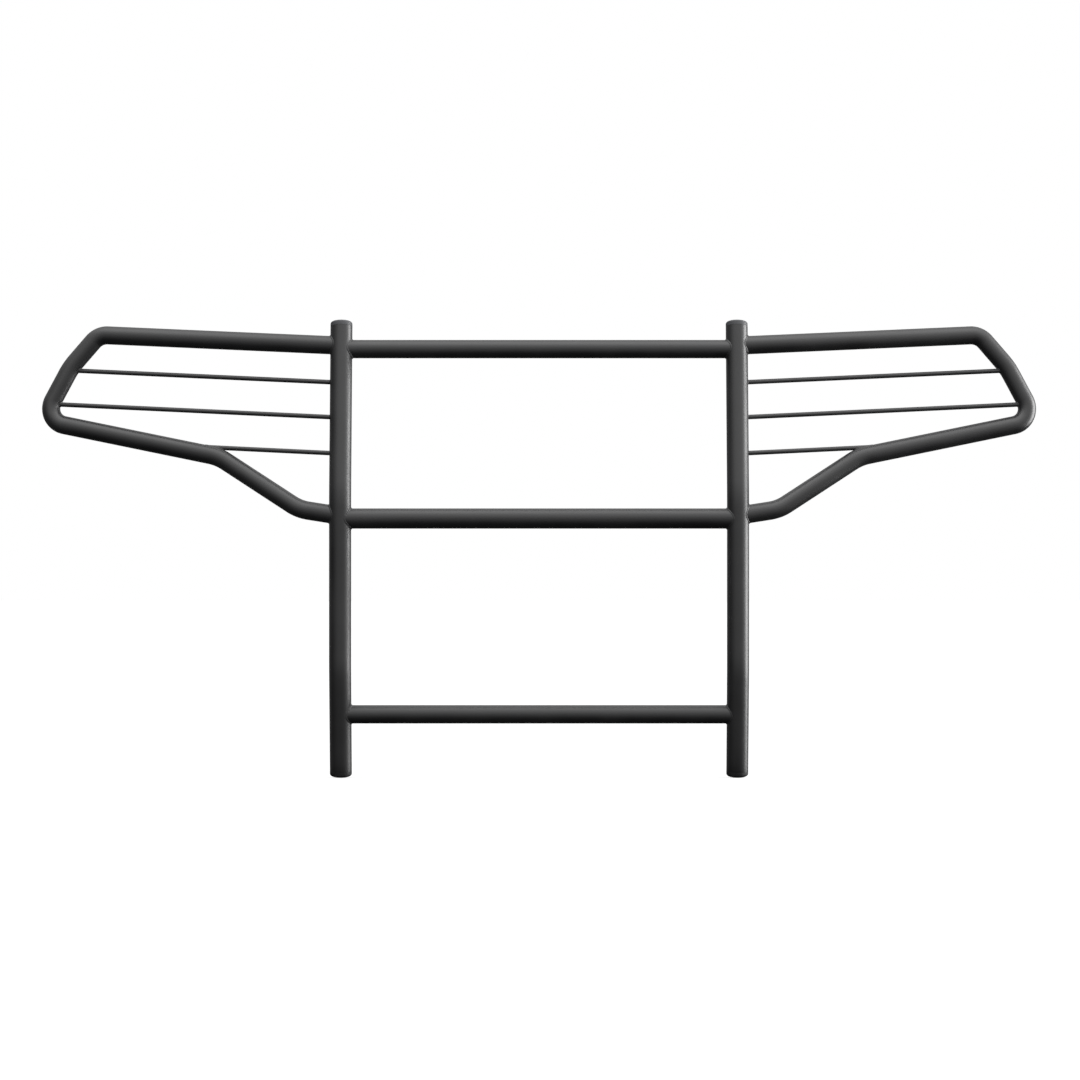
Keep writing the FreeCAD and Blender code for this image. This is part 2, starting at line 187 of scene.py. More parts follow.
@dataclass(frozen=True)
class Finish:
    """What every finish shares: a Principled shader whose look follows the place on the guard."""

    name: str

    BASE: ClassVar[dict[str, float]] = {}
    MIDDLE: ClassVar[tuple[float, float]] = (0.3, 0.7)
    TINT_STOPS: ClassVar[tuple[float, float]] = (0.35, 0.65)

    def build(self) -> bpy.types.Material:
        """Return the finished material."""
        material = blank_material(self.name)
        tree = material.node_tree
        place = add_node(tree, "ShaderNodeTexCoord").outputs["Object"]
        look = self.look(tree, place)
        shader = add_node(tree, "ShaderNodeBsdfPrincipled", values=self.BASE, links=look)
        add_node(tree, "ShaderNodeOutputMaterial", links={"Surface": shader.outputs["BSDF"]})
        return material

    def look(self, tree: Tree, place: Socket) -> dict[str, Socket]:
        """Draw the finish.

        Args:
            tree: The material's tree.
            place: The place on the guard, in metres.

        Returns:
            What feeds the shader's colour, roughness and normal.
        """
        raise NotImplementedError

    def drift(
        self, tree: Tree, blotches: Socket, gloss: tuple[float, float], *tints: tuple[str, str]
    ) -> tuple[Socket, ...]:
        """Let the gloss and the colour drift together over the surface.

        Args:
            tree: The material's tree.
            blotches: The noise that they follow.
            gloss: The roughness at the noise's low end and at its high end.
            tints: Pairs of hex colours, the low end's and the high end's.

        Returns:
            The roughness, and then a colour for each pair.
        """
        values = dict(zip(("From Min", "From Max", "To Min", "To Max"), (*self.MIDDLE, *gloss)))
        rough = add_node(tree, "ShaderNodeMapRange", values=values, links={"Value": blotches})
        colours = []
        for tint in tints:
            ramp = add_node(tree, "ShaderNodeValToRGB", links={"Fac": blotches})
            for stop, position, colour in zip(ramp.color_ramp.elements, self.TINT_STOPS, tint):
                stop.position, stop.color = position, linear(colour)
            colours.append(ramp.outputs["Color"])
        return rough.outputs["Result"], *colours

    def relief(self, tree: Tree, place: Socket, *layers: Blotches) -> Socket:
        """Stack bumps, the broadest first.

        Args:
            tree: The material's tree.
            place: The place on the guard.
            layers: The noise of each bump, with its depth.

        Returns:
            The surface's normal.
        """
        below: dict[str, Socket] = {}
        for layer in layers:
            values = {"Strength": 1.0, "Distance": layer.depth_mm * MM}
            links = {"Height": layer.draw(tree, place), **below}
            bump = add_node(tree, "ShaderNodeBump", values=values, links=links)
            below = {"Normal": bump.outputs["Normal"]}
        return below["Normal"]


@dataclass(frozen=True)
class PowderCoat(Finish):
    """Semi-gloss black polyester powder, sprayed dry and baked.

    The melt levels out short of flat, so close up it shows orange peel: soft swells a few
    millimetres across that break the edge of every highlight. Under them lies a fine grain, and
    the gloss drifts a little where the film is thicker.
    """

    tint: tuple[str, str] = ("#161617", "#1c1c1d")
    film: Blotches = Blotches(70.0)
    peel: Blotches = Blotches(2.6, detail=1.0, depth_mm=0.07)
    grain: Blotches = Blotches(0.55, depth_mm=0.02)
    gloss: tuple[float, float] = (0.31, 0.4)

    BASE: ClassVar[dict[str, float]] = {"IOR": 1.52}

    def look(self, tree: Tree, place: Socket) -> dict[str, Socket]:
        """Return the drift of tone and gloss, and the orange peel over the grain."""
        rough, colour = self.drift(tree, self.film.draw(tree, place), self.gloss, self.tint)
        normal = self.relief(tree, place, self.peel, self.grain)
        return {"Base Color": colour, "Roughness": rough, "Normal": normal}


@dataclass(frozen=True)
class MouldedCap(Finish):
    """Black polyethylene, injection moulded in a spark-eroded tool.

    The tool leaves an even matt grain about half a millimetre across, and the plastic scatters
    light more broadly than the coat beside it. The plugs at the top of the uprights are painted
    paler, as painted light, and the ones under the bumper painted darker, as painted shade.
    """

    # Painted light: a dark painted shade tint for the low plugs and a paler painted lit tint for the high
    # ones, blended by height.
    shaded: tuple[str, str] = ("#0c0c0e", "#121214")
    sunned: tuple[str, str] = ("#303134", "#37383b")
    sun_line_m: tuple[float, float] = (0.2, 0.7)
    flow: Blotches = Blotches(14.0)
    grain: Blotches = Blotches(0.6, detail=3.0, depth_mm=0.02)
    gloss: tuple[float, float] = (0.52, 0.62)

    BASE: ClassVar[dict[str, float]] = {"IOR": 1.51}

    def look(self, tree: Tree, place: Socket) -> dict[str, Socket]:
        """Return flow marks in a colour painted paler with height as painted light, and the matt grain."""
        flow = self.flow.draw(tree, place)
        rough, shaded, sunned = self.drift(tree, flow, self.gloss, self.shaded, self.sunned)
        # Painted light: the colour goes from the painted shade tint to the painted lit tint as the height
        # rises.
        height = add_node(tree, "ShaderNodeSeparateXYZ", links={"Vector": place}).outputs["Z"]
        values = dict(zip(("From Min", "From Max"), self.sun_line_m))
        painted_light_share = add_node(tree, "ShaderNodeMapRange", values=values, links={"Value": height})
        # On a colour Mix, inputs 0, 6 and 7 are the factor and the two colours, and output 2 the mix.
        links = {0: painted_light_share.outputs["Result"], 6: shaded, 7: sunned}
        colour = add_node(tree, "ShaderNodeMix", settings={"data_type": "RGBA"}, links=links).outputs[2]
        normal = self.relief(tree, place, self.grain)
        return {"Base Color": colour, "Roughness": rough, "Normal": normal}


@dataclass(frozen=True)
class ZincPlate(Finish):
    """Bright zinc on steel, passivated clear.

    Zinc goes on in fine crystals, so the metal is silvery and a little cloudy, and the passivation
    drifts between a blue and a straw tint over a few millimetres.
    """

    tint: tuple[str, str] = ("#82888d", "#999890")
    cloud: Blotches = Blotches(5.0, detail=4.0)
    crystals: Blotches = Blotches(0.5, depth_mm=0.006)
    gloss: tuple[float, float] = (0.26, 0.42)

    BASE: ClassVar[dict[str, float]] = {"Metallic": 1.0}

    def look(self, tree: Tree, place: Socket) -> dict[str, Socket]:
        """Return the passivation's tint, the cloudy gloss and the crystals."""
        rough, colour = self.drift(tree, self.cloud.draw(tree, place), self.gloss, self.tint)
        normal = self.relief(tree, place, self.crystals)
        return {"Base Color": colour, "Roughness": rough, "Normal": normal}


class Slot(Enum):
    """The record's material slots."""

    POWDER_COAT = "powder_coat"
    MOULDED_CAP = "moulded_cap"
    ZINC_FASTENER = "zinc_fastener"


class Workshop:
    """Holds one material for each slot, and the torch that welds the tubes."""

    def __init__(self) -> None:
        """Build every finish and the torch once."""
        self.materials = {
            Slot.POWDER_COAT: PowderCoat("black_polyester_powder_coat").build(),
            Slot.MOULDED_CAP: MouldedCap("black_moulded_polyethylene").build(),
            Slot.ZINC_FASTENER: ZincPlate("bright_zinc_plate").build(),
        }
        self.torch = BeadTool(self.materials[Slot.POWDER_COAT])

    def deliver(self, piece: Piece, slot: Slot, *replaced: str) -> None:
        """Finish a piece and hand it to the frame.

        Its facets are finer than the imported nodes', so a bend can stand hundredths of a
        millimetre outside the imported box, and is trimmed to it.

        Args:
            piece: The finished piece.
            slot: The material slot that it takes its finish from.
            replaced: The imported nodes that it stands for.
        """
        places = np.empty(len(piece.data.vertices) * 3)
        piece.data.vertices.foreach_get("co", places)
        within = np.clip(places.reshape(-1, 3), CAD_LOW, CAD_HIGH)
        piece.data.vertices.foreach_set("co", within.ravel())
        piece.data.materials.clear()
        piece.data.materials.append(self.materials[slot])
        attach(piece, BODY)
        if replaced:
            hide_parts(*replaced)
        log.info("%s: %d faces, %s", piece.name, len(piece.data.polygons), slot.value)

    def weld(self, name: str, seams: Sequence[Array], bead: "Bead") -> None:
        """Lay a bead along closed lines and hand it over, coated with the tubes that it joins."""
        self.deliver(self.torch.lay(name, seams, bead), Slot.POWDER_COAT)


# --------------------------------------------------------------------------------------- meshes

CREASE = math.radians(32)
MERGE = 1e-4


def new_object(name: str, mesh: bpy.types.Mesh) -> Piece:
    """Link an object at the origin that shows a mesh."""
    piece = bpy.data.objects.new(name, mesh)
    bpy.context.scene.collection.objects.link(piece)
    return piece


def close_up(name: str, shape: bmesh.types.BMesh) -> Piece:
    """Turn a closed shape in millimetres into a finished object in metres.

    Args:
        name: The object's name.
        shape: The shape, which is freed.

    Returns:
        The new object.
    """
    bmesh.ops.remove_doubles(shape, verts=shape.verts, dist=MERGE)
    bmesh.ops.recalc_face_normals(shape, faces=shape.faces)
    bmesh.ops.scale(shape, vec=Vector((MM, MM, MM)), verts=shape.verts)
    mesh = bpy.data.meshes.new(name)
    shape.to_mesh(mesh)
    shape.free()
    mesh.shade_smooth()
    mesh.set_sharp_from_angle(angle=CREASE)
    return new_object(name, mesh)


def skin_rings(name: str, rings: Sequence[Array], looped: bool = False, side: Side = Side.RIGHT) -> Piece:
    """Make an object whose skin runs over rings of equally many points.

    Args:
        name: The object's name.
        rings: The rings, each an array of points.
        looped: True if the last ring joins the first, False if both ends are closed flat.
        side: The half of the guard to make it on.

    Returns:
        The new object.
    """
    shape = bmesh.new()
    rows = [[shape.verts.new((side.value * x, y, z)) for x, y, z in ring] for ring in rings]
    count = len(rows[0])
    pairs = list(zip(rows, rows[1:])) + ([(rows[-1], rows[0])] if looped else [])
    for row, following in pairs:
        for index in range(count):
            after = (index + 1) % count
            shape.faces.new((row[index], row[after], following[after], following[index]))
    if not looped:
        shape.faces.new(rows[0])
        shape.faces.new(rows[-1])
    return close_up(name, shape)


def segment_angles(segments: int) -> Array:
    """Return the angles of a ring's points."""
    return np.arange(segments) * 2 * math.pi / segments


def lathe(
    name: str,
    profile: Sequence[tuple],
    turn: Array,
    segments: int,
    place: Array = np.zeros(3),
    looped: bool = False,
    side: Side = Side.RIGHT,
) -> Piece:
    """Turn a profile about an axis.

    Args:
        name: The object's name.
        profile: (radius, height) pairs along the axis. Either may be an array with a value for
            each segment, for a row that isn't round or level.
        turn: Three columns, the directions that the profile's x, y and height take.
        segments: How many faces go round.
        place: Where the profile's height of zero goes.
        looped: True if the profile closes on itself, as a washer's does.
        side: The half of the guard to make it on.

    Returns:
        The new object.
    """
    angles = segment_angles(segments)
    rings = []
    for radius, height in profile:
        heights = np.broadcast_to(height, angles.shape)
        local = np.stack((radius * np.cos(angles), radius * np.sin(angles), heights), axis=1)
        rings.append(place + local @ turn.T)
    return skin_rings(name, rings, looped, side)


def arc(centre: Sequence[float], radius: float, first: float, last: float, steps: int) -> list[tuple]:
    """Return points round an arc in a plane, its angles in degrees."""
    angles = np.radians(np.linspace(first, last, steps + 1))
    return [(centre[0] + radius * math.cos(a), centre[1] + radius * math.sin(a)) for a in angles]


# ---------------------------------------------------------------------------------------- tubes


@dataclass(frozen=True)
class Bend:
    """One bend of a tube.

    Attributes:
        turn: Degrees that the axis turns, positive to the left of its heading.
        radius: The radius of the axis round the bend.
    """

    turn: float
    radius: float


@dataclass(frozen=True)
class TubeAxis:
    """A tube's axis in one plane: straight runs joined by bends.

    Attributes:
        start: Where the axis begins.
        heading: The direction of the first run.
        left: The direction in the plane that a positive turn leads to.
        runs: The straight lengths.
        bends: The bends between them.
    """

    start: Array
    heading: Array
    left: Array
    runs: tuple[float, ...]
    bends: tuple[Bend, ...] = ()

    BEND_STEP: ClassVar[float] = 2.0
    RUN_STEP: ClassVar[float] = 45.0

    def direction(self, degrees: float) -> Array:
        """Return the direction this far to the left of the first heading."""
        angle = math.radians(degrees)
        return self.heading * math.cos(angle) + self.left * math.sin(angle)

    def stations(self) -> tuple[Array, Array]:
        """Walk the axis.

        Returns:
            Points along it, and the heading at each.
        """
        points, headings, degrees = [self.start], [self.heading], 0.0
        for index, run in enumerate(self.runs):
            ahead = self.direction(degrees)
            steps = max(1, round(run / self.RUN_STEP))
            for _ in range(steps):
                points.append(points[-1] + ahead * run / steps)
                headings.append(ahead)
            if index < len(self.bends):
                bend = self.bends[index]
                inward = math.copysign(90.0, bend.turn)
                centre = points[-1] + self.direction(degrees + inward) * bend.radius
                steps = math.ceil(abs(bend.turn) / self.BEND_STEP)
                for step in range(1, steps + 1):
                    now = degrees + bend.turn * step / steps
                    points.append(centre - self.direction(now + inward) * bend.radius)
                    headings.append(self.direction(now))
                degrees += bend.turn
        return np.array(points), np.array(headings)


class TubeSkin:
    """The outside of a bent tube, which the ends of other tubes are cut to fit."""

    CLOSE: ClassVar[float] = 0.002
    MOST_STEPS: ClassVar[int] = 400

    def __init__(self, axis: TubeAxis, radius: float) -> None:
        """Keep the axis as a chain of short lines, run on past both of its ends."""
        points, headings = axis.stations()
        before, after = points[:1] - headings[:1] * 2 * radius, points[-1:] + headings[-1:] * 2 * radius
        chain = np.vstack((before, points, after))
        self.starts, self.spans = chain[:-1], np.diff(chain, axis=0)
        self.radius = radius

    def from_axis(self, points: Array) -> Array:
        """Find the shortest lines from the axis.

        Args:
            points: The points that they lead to.

        Returns:
            The line to each point.
        """
        offsets = points[:, None, :] - self.starts[None]
        lengths = (self.spans**2).sum(axis=1)
        share = np.clip((offsets * self.spans).sum(axis=2) / lengths, 0.0, 1.0)
        lines = offsets - share[..., None] * self.spans
        nearest = np.linalg.norm(lines, axis=2).argmin(axis=1)
        return lines[np.arange(len(points)), nearest]

    def gap(self, points: Array) -> Array:
        """Return each point's distance from the tube's outside, negative within it."""
        return np.linalg.norm(self.from_axis(points), axis=1) - self.radius

    def meet(self, points: Array, heading: Array) -> Array:
        """Slide points along a heading until they touch the tube.

        Args:
            points: Points clear of the tube.
            heading: The direction that leads them to it.

        Returns:
            Where each one touches.
        """
        places = points.astype(float).copy()
        for _ in range(self.MOST_STEPS):
            gaps = self.gap(places)
            if gaps.max() < self.CLOSE:
                break
            places += np.maximum(gaps, 0.0)[:, None] * heading
        return places


@dataclass(frozen=True)
class Bead:
    """The size of a weld bead.

    Attributes:
        radius: Half its width.
        proud: How far it stands out where the tubes lie level.
        pitch: The distance from ripple to ripple.
        depth: How deep the valleys between ripples go, as a share of the radius.
        wander: How far it strays from its line.
        seed: Which random line it follows.
    """

    radius: float = 3.0
    proud: float = 0.7
    pitch: float = 2.2
    depth: float = 0.05
    wander: float = 0.6
    seed: float = 3.0

    CORNER_SINK: ClassVar[float] = 0.5


@dataclass(frozen=True)
class Tube:
    """A length of round tube, with ends that may be cut to fit other tubes.

    Attributes:
        axis: The tube's axis.
        diameter: The outside diameter.
        wall: The wall's thickness, or zero for a solid bar.
        segments: How many faces go round it.
        start_skin: The tube that its first end meets.
        end_skin: The tube that its last end meets.
    """

    axis: TubeAxis
    diameter: float
    wall: float = 0.0
    segments: int = 64
    start_skin: Optional[TubeSkin] = None
    end_skin: Optional[TubeSkin] = None

    CLEAR: ClassVar[float] = 1.0

    def skin(self) -> TubeSkin:
        """Return the outside that other tubes meet."""
        return TubeSkin(self.axis, self.diameter / 2)

    def outward(self, heading: Array) -> Array:
        """Point out from the axis to a ring.

        Args:
            heading: The axis's direction there.

        Returns:
            The direction to each of the ring's points.
        """
        across = unit(np.cross(self.axis.heading, self.axis.left))
        angles = segment_angles(self.segments)[:, None]
        return np.cos(angles) * across + np.sin(angles) * np.cross(across, heading)

    def rings(self, radius: float) -> list[Array]:
        """Lay out one wall from end to end.

        Where an end meets another tube, the rings that aren't clear of it are left out, and the
        next ring is carried along the axis on to its outside instead.

        Args:
            radius: The wall's radius.

        Returns:
            Its rings.
        """
        points, headings = self.axis.stations()
        rings = [point + radius * self.outward(ahead) for point, ahead in zip(points, headings)]
        if self.start_skin:
            first = next(i for i, ring in enumerate(rings) if self.start_skin.gap(ring).min() > self.CLEAR)
            cut = self.start_skin.meet(rings[first], -headings[first])
            rings, headings = [cut] + rings[first:], headings[first - 1 :]
        if self.end_skin:
            last = len(rings) - 1
            while self.end_skin.gap(rings[last]).min() < self.CLEAR:
                last -= 1
            rings = rings[: last + 1] + [self.end_skin.meet(rings[last], headings[last])]
        return rings

    def build(self, name: str, side: Side = Side.RIGHT) -> Piece:
        """Make the tube, or the bar.

        Args:
            name: The name of the piece.
            side: The half of the guard to make it on.

        Returns:
            The piece.
        """
        rings = self.rings(self.diameter / 2)
        if self.wall:
            rings += self.rings(self.diameter / 2 - self.wall)[::-1]
        return skin_rings(name, rings, bool(self.wall), side)

    def seam(self, at_start: bool, bead: Bead) -> Array:
        """Find the line that a weld follows round one end.

        Where the two tubes stand square to each other, the bead fills their corner. Where they
        lie almost level, it sinks until it stands only a little proud of them.

        Args:
            at_start: True for the first end, False for the last.
            bead: The bead that is laid there.

        Returns:
            Points round the seam.
        """
        end = 0 if at_start else -1
        edge = self.rings(self.diameter / 2)[end]
        skin = self.start_skin if at_start else self.end_skin
        mine = self.outward(self.axis.stations()[1][end])
        theirs = skin.from_axis(edge) / skin.radius
        level = np.clip((mine * theirs).sum(axis=1), 0.0, 1.0)[:, None]
        way_out = mine + theirs
        way_out /= np.linalg.norm(way_out, axis=1)[:, None]
        sink = level * (bead.radius - bead.proud) + (1.0 - level) * bead.radius * bead.CORNER_SINK
        return edge - way_out * sink


# -------------------------------------------------------------------------------- geometry nodes


class NodeTool:
    """A Geometry Nodes tree with named inputs, used once for each piece and then applied."""

    def __init__(self, name: str, inputs: dict[str, str], finish: bpy.types.Material) -> None:
        """Start the tree.

        Args:
            name: The tree's name.
            inputs: Input name to socket type, besides the finish.
            finish: The material that the tree sets.
        """
        self.tree = bpy.data.node_groups.new(name, "GeometryNodeTree")
        face = self.tree.interface
        face.new_socket(name="Geometry", in_out="INPUT", socket_type="NodeSocketGeometry")
        self.finish = finish
        self.sockets = {
            title: face.new_socket(name=title, in_out="INPUT", socket_type=kind).identifier
            for title, kind in {**inputs, "Finish": "NodeSocketMaterial"}.items()
        }
        face.new_socket(name="Geometry", in_out="OUTPUT", socket_type="NodeSocketGeometry")
        self.given = add_node(self.tree, "NodeGroupInput").outputs

    def node(self, kind: str, **details: dict) -> bpy.types.Node:
        """Add a node to the tool's tree."""
        return add_node(self.tree, kind, **details)

    def work_out(self, number: Socket, *steps: tuple[str, object]) -> Socket:
        """Take a number through a row of sums.

        Args:
            number: The number.
            steps: Each an operation and its second operand, which is a socket or a plain number.

        Returns:
            The result.
        """
        for operation, operand in steps:
            fed = isinstance(operand, Socket)
            links = {0: number, 1: operand} if fed else {0: number}
            values = None if fed else {1: operand}
            settings = {"operation": operation}
            number = self.node("ShaderNodeMath", settings=settings, values=values, links=links).outputs[0]
        return number

    def end(self, geometry: Socket) -> None:
        """Finish the tree: make the result real and give it its material.

        Args:
            geometry: The result.
        """
        real = self.node("GeometryNodeRealizeInstances", links={"Geometry": geometry})
        links = {"Geometry": real.outputs["Geometry"], "Material": self.given["Finish"]}
        dressed = self.node("GeometryNodeSetMaterial", links=links)
        self.node("NodeGroupOutput", links={"Geometry": dressed.outputs["Geometry"]})

    def apply(self, name: str, guide: bpy.types.Mesh, values: dict[str, object]) -> Piece:
        """Run the tree on a guide mesh.

        Args:
            name: The name of the piece.
            guide: The mesh that the tree starts from.
            values: Input name to value, besides the finish.

        Returns:
            A plain mesh object with no modifier.
        """
        carrier = new_object(f"{name}_guide", guide)
        modifier = carrier.modifiers.new("tool", "NODES")
        modifier.node_group = self.tree
        for title, value in {**values, "Finish": self.finish}.items():
            modifier[self.sockets[title]] = value
        shown = carrier.evaluated_get(bpy.context.evaluated_depsgraph_get())
        mesh = bpy.data.meshes.new_from_object(shown)
        mesh.name = name
        bpy.data.objects.remove(carrier)
        return new_object(name, mesh)


class BeadTool(NodeTool):
    """Lays a weld bead along every closed line of the guide.

    The torch stops and starts for every few tenths of a second, so the bead is a row of ripples,
    and a hand holds it, so it wanders a little off its line.
    """

    SLICES: ClassVar[int] = 6
    SIDES: ClassVar[int] = 12
    WANDER_SIZE_MM: ClassVar[float] = 9.0
    SIZES: ClassVar[tuple[str, ...]] = ("Radius", "Pitch", "Depth", "Wander", "Seed")

    def __init__(self, finish: bpy.types.Material) -> None:
        """Build the tree: slice the line, move it, and sweep a circle along it."""
        super().__init__("weld_bead", dict.fromkeys(self.SIZES, "NodeSocketFloat"), finish)
        given = self.given
        line = self.node("GeometryNodeMeshToCurve", links={"Mesh": given["Geometry"]})
        links = {"Curve": line.outputs[0], "Length": self.work_out(given["Pitch"], ("DIVIDE", self.SLICES))}
        slices = self.node("GeometryNodeResampleCurve", settings={"mode": "LENGTH"}, links=links)
        links = {"Geometry": slices.outputs["Curve"], "Offset": self.wander()}
        moved = self.node("GeometryNodeSetPosition", links=links)
        section = self.node(
            "GeometryNodeCurvePrimitiveCircle",
            settings={"mode": "RADIUS"},
            values={"Resolution": self.SIDES},
            links={"Radius": given["Radius"]},
        )
        swept = {"Curve": moved.outputs["Geometry"], "Profile Curve": section.outputs["Curve"]}
        bead = self.node("GeometryNodeCurveToMesh", links={**swept, "Scale": self.ripple()})
        smooth = self.node("GeometryNodeSetShadeSmooth", links={"Geometry": bead.outputs["Mesh"]})
        self.end(smooth.outputs["Geometry"])

    def ripple(self) -> Socket:
        """Swell the bead along its line, in a whole number of ripples with sharp valleys.

        Returns:
            Its size at each slice, as a share of the radius.
        """
        length = self.node("GeometryNodeSplineLength").outputs["Length"]
        count = self.work_out(length, ("DIVIDE", self.given["Pitch"]), ("ROUND", 0.0))
        share = self.node("GeometryNodeSplineParameter").outputs["Factor"]
        turned = self.work_out(share, ("MULTIPLY", count), ("MULTIPLY", math.pi))
        crest = self.work_out(turned, ("SINE", 0.0), ("ABSOLUTE", 0.0))
        return self.work_out(crest, ("SUBTRACT", 1.0), ("MULTIPLY", self.given["Depth"]), ("ADD", 1.0))

    def wander(self) -> Socket:
        """Stray from the line as a hand does.

        Returns:
            How far each slice moves.
        """
        place = self.node("GeometryNodeInputPosition").outputs["Position"]
        stray = self.node(
            "ShaderNodeTexNoise",
            settings={"noise_dimensions": "4D"},
            values={"Scale": 1 / (self.WANDER_SIZE_MM * MM)},
            links={"Vector": place, "W": self.given["Seed"]},
        )
        centred = self.node(
            "ShaderNodeVectorMath",
            settings={"operation": "SUBTRACT"},
            values={1: (0.5, 0.5, 0.5)},
            links={0: stray.outputs["Color"]},
        )
        links = {0: centred.outputs["Vector"], "Scale": self.given["Wander"]}
        scaled = self.node("ShaderNodeVectorMath", settings={"operation": "SCALE"}, links=links)
        return scaled.outputs["Vector"]

    def lay(self, name: str, seams: Sequence[Array], bead: Bead) -> Piece:
        """Weld along closed lines.

        Args:
            name: The name of the piece.
            seams: The closed lines, in millimetres.
            bead: The size of the bead.

        Returns:
            The bead as one mesh.
        """
        points, edges = [], []
        for seam in seams:
            first, count = len(points), len(seam)
            points += [tuple(point * MM) for point in seam]
            edges += [(first + index, first + (index + 1) % count) for index in range(count)]
        guide = bpy.data.meshes.new(f"{name}_guide")
        guide.from_pydata(points, edges, [])
        sizes = (bead.radius * MM, bead.pitch * MM, bead.depth, bead.wander * MM, bead.seed)
        return self.apply(name, guide, dict(zip(self.SIZES, sizes)))


class SetTool(NodeTool):
    """Puts one fastener at every point of the guide, each turned by chance about its own axis."""

    def __init__(self, finish: bpy.types.Material) -> None:
        """Build the tree."""
        inputs = {"Fastener": "NodeSocketObject", "Seed": "NodeSocketInt"}
        super().__init__("fastener_set", inputs, finish)
        fastener = self.node("GeometryNodeObjectInfo", links={"Object": self.given["Fastener"]})
        settings, values = {"data_type": "FLOAT_VECTOR"}, {"Name": "facing"}
        facing = self.node("GeometryNodeInputNamedAttribute", settings=settings, values=values)
        links = {
            "Points": self.given["Geometry"],
            "Instance": fastener.outputs["Geometry"],
            "Rotation": self.result(facing, "VECTOR"),
        }
        placed = self.node("GeometryNodeInstanceOnPoints", links=links)
        # On a Random Value node, inputs 2 and 3 are a plain number's least and most.
        values, links = {2: 0.0, 3: 2 * math.pi}, {"Seed": self.given["Seed"]}
        chance = self.node("FunctionNodeRandomValue", values=values, links=links)
        spin = self.node("ShaderNodeCombineXYZ", links={"X": self.result(chance, "VALUE")})
        links = {"Instances": placed.outputs["Instances"], "Rotation": spin.outputs["Vector"]}
        turned = self.node("GeometryNodeRotateInstances", links=links)
        self.end(turned.outputs["Instances"])

    @staticmethod
    def result(node: bpy.types.Node, kind: str) -> Socket:
        """Return a node's enabled output of one type."""
        return next(socket for socket in node.outputs if socket.enabled and socket.type == kind)

    def set_out(self, name: str, fastener: Piece, places: Sequence[Array], seed: int) -> Piece:
        """Copy a fastener to both sides of the guard.

        Args:
            name: The name of the set.
            fastener: One fastener at the origin that faces +X, removed afterwards.
            places: Its places on the right-hand side, in millimetres.
            seed: Which random turns the copies take.

        Returns:
            The set as one mesh.
        """
        points, facings = [], []
        for side in Side:
            points += [tuple(place * MM * (side.value, 1, 1)) for place in places]
            facings += [(0.0, 0.0, 0.0 if side is Side.RIGHT else math.pi)] * len(places)
        guide = bpy.data.meshes.new(f"{name}_guide")
        guide.from_pydata(points, [], [])
        facing = guide.attributes.new("facing", "FLOAT_VECTOR", "POINT")
        facing.data.foreach_set("vector", np.array(facings, dtype=np.float32).ravel())
        made = self.apply(name, guide, {"Fastener": fastener, "Seed": seed})
        bpy.data.objects.remove(fastener)
        return made


# --------------------------------------------------------------------------------- sub-assemblies


@dataclass
class Upright:
    """One of the two posts: a tube bent twice, fore and aft, and plugged at both ends.

    The lower run slants back under the bumper, the middle one is vertical and the upper one leans
    back with the bonnet.
    """

    diameter: float = 38.1
    wall: float = 2.5
    foot_run: float = 160.6
    foot_slant: float = 13.0
    middle_run: float = 257.4
    head_lean: float = 14.0
    head_run: float = 278.7
    bend_radius: float = 180.0
    tube: Tube = field(init=False)

    def __post_init__(self) -> None:
        """Stand the right-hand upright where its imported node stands."""
        low, high = node_box("upright_right")
        radius, slant = self.diameter / 2, math.radians(self.foot_slant)
        axis = TubeAxis(
            start=np.zeros(3),
            heading=np.array((0.0, -math.sin(slant), math.cos(slant))),
            left=np.array((0.0, -math.cos(slant), -math.sin(slant))),
            runs=(self.foot_run, self.middle_run, self.head_run),
            bends=(Bend(-self.foot_slant, self.bend_radius), Bend(-self.head_lean, self.bend_radius)),
        )
        front = axis.stations()[0][:, 1].min()
        foot = np.array(((low[0] + high[0]) / 2, low[1] + radius - front, low[2] + radius * math.sin(slant)))
        self.tube = Tube(replace(axis, start=foot), self.diameter, self.wall)

    def point_at(self, height: float) -> Array:
        """Find the point of the axis at a height, with the bends left sharp.

        Args:
            height: The height above the bottom of the guard.

        Returns:
            The point.
        """
        points, headings = self.tube.axis.stations()
        for end in (0, -1):
            ahead = headings[end]
            on_run = points[end] + ahead * (height - points[end][2]) / ahead[2]
            if on_run[1] > points[:, 1].min():
                return on_run
        middle = points[:, 1].argmin()
        return np.array((points[middle][0], points[middle][1], height))

    def build(self, shop: Workshop) -> None:
        """Make both uprights."""
        for side in Side:
            piece = self.tube.build(f"upright_tube_{side.word}", side)
            shop.deliver(piece, Slot.POWDER_COAT, f"upright_{side.word}")


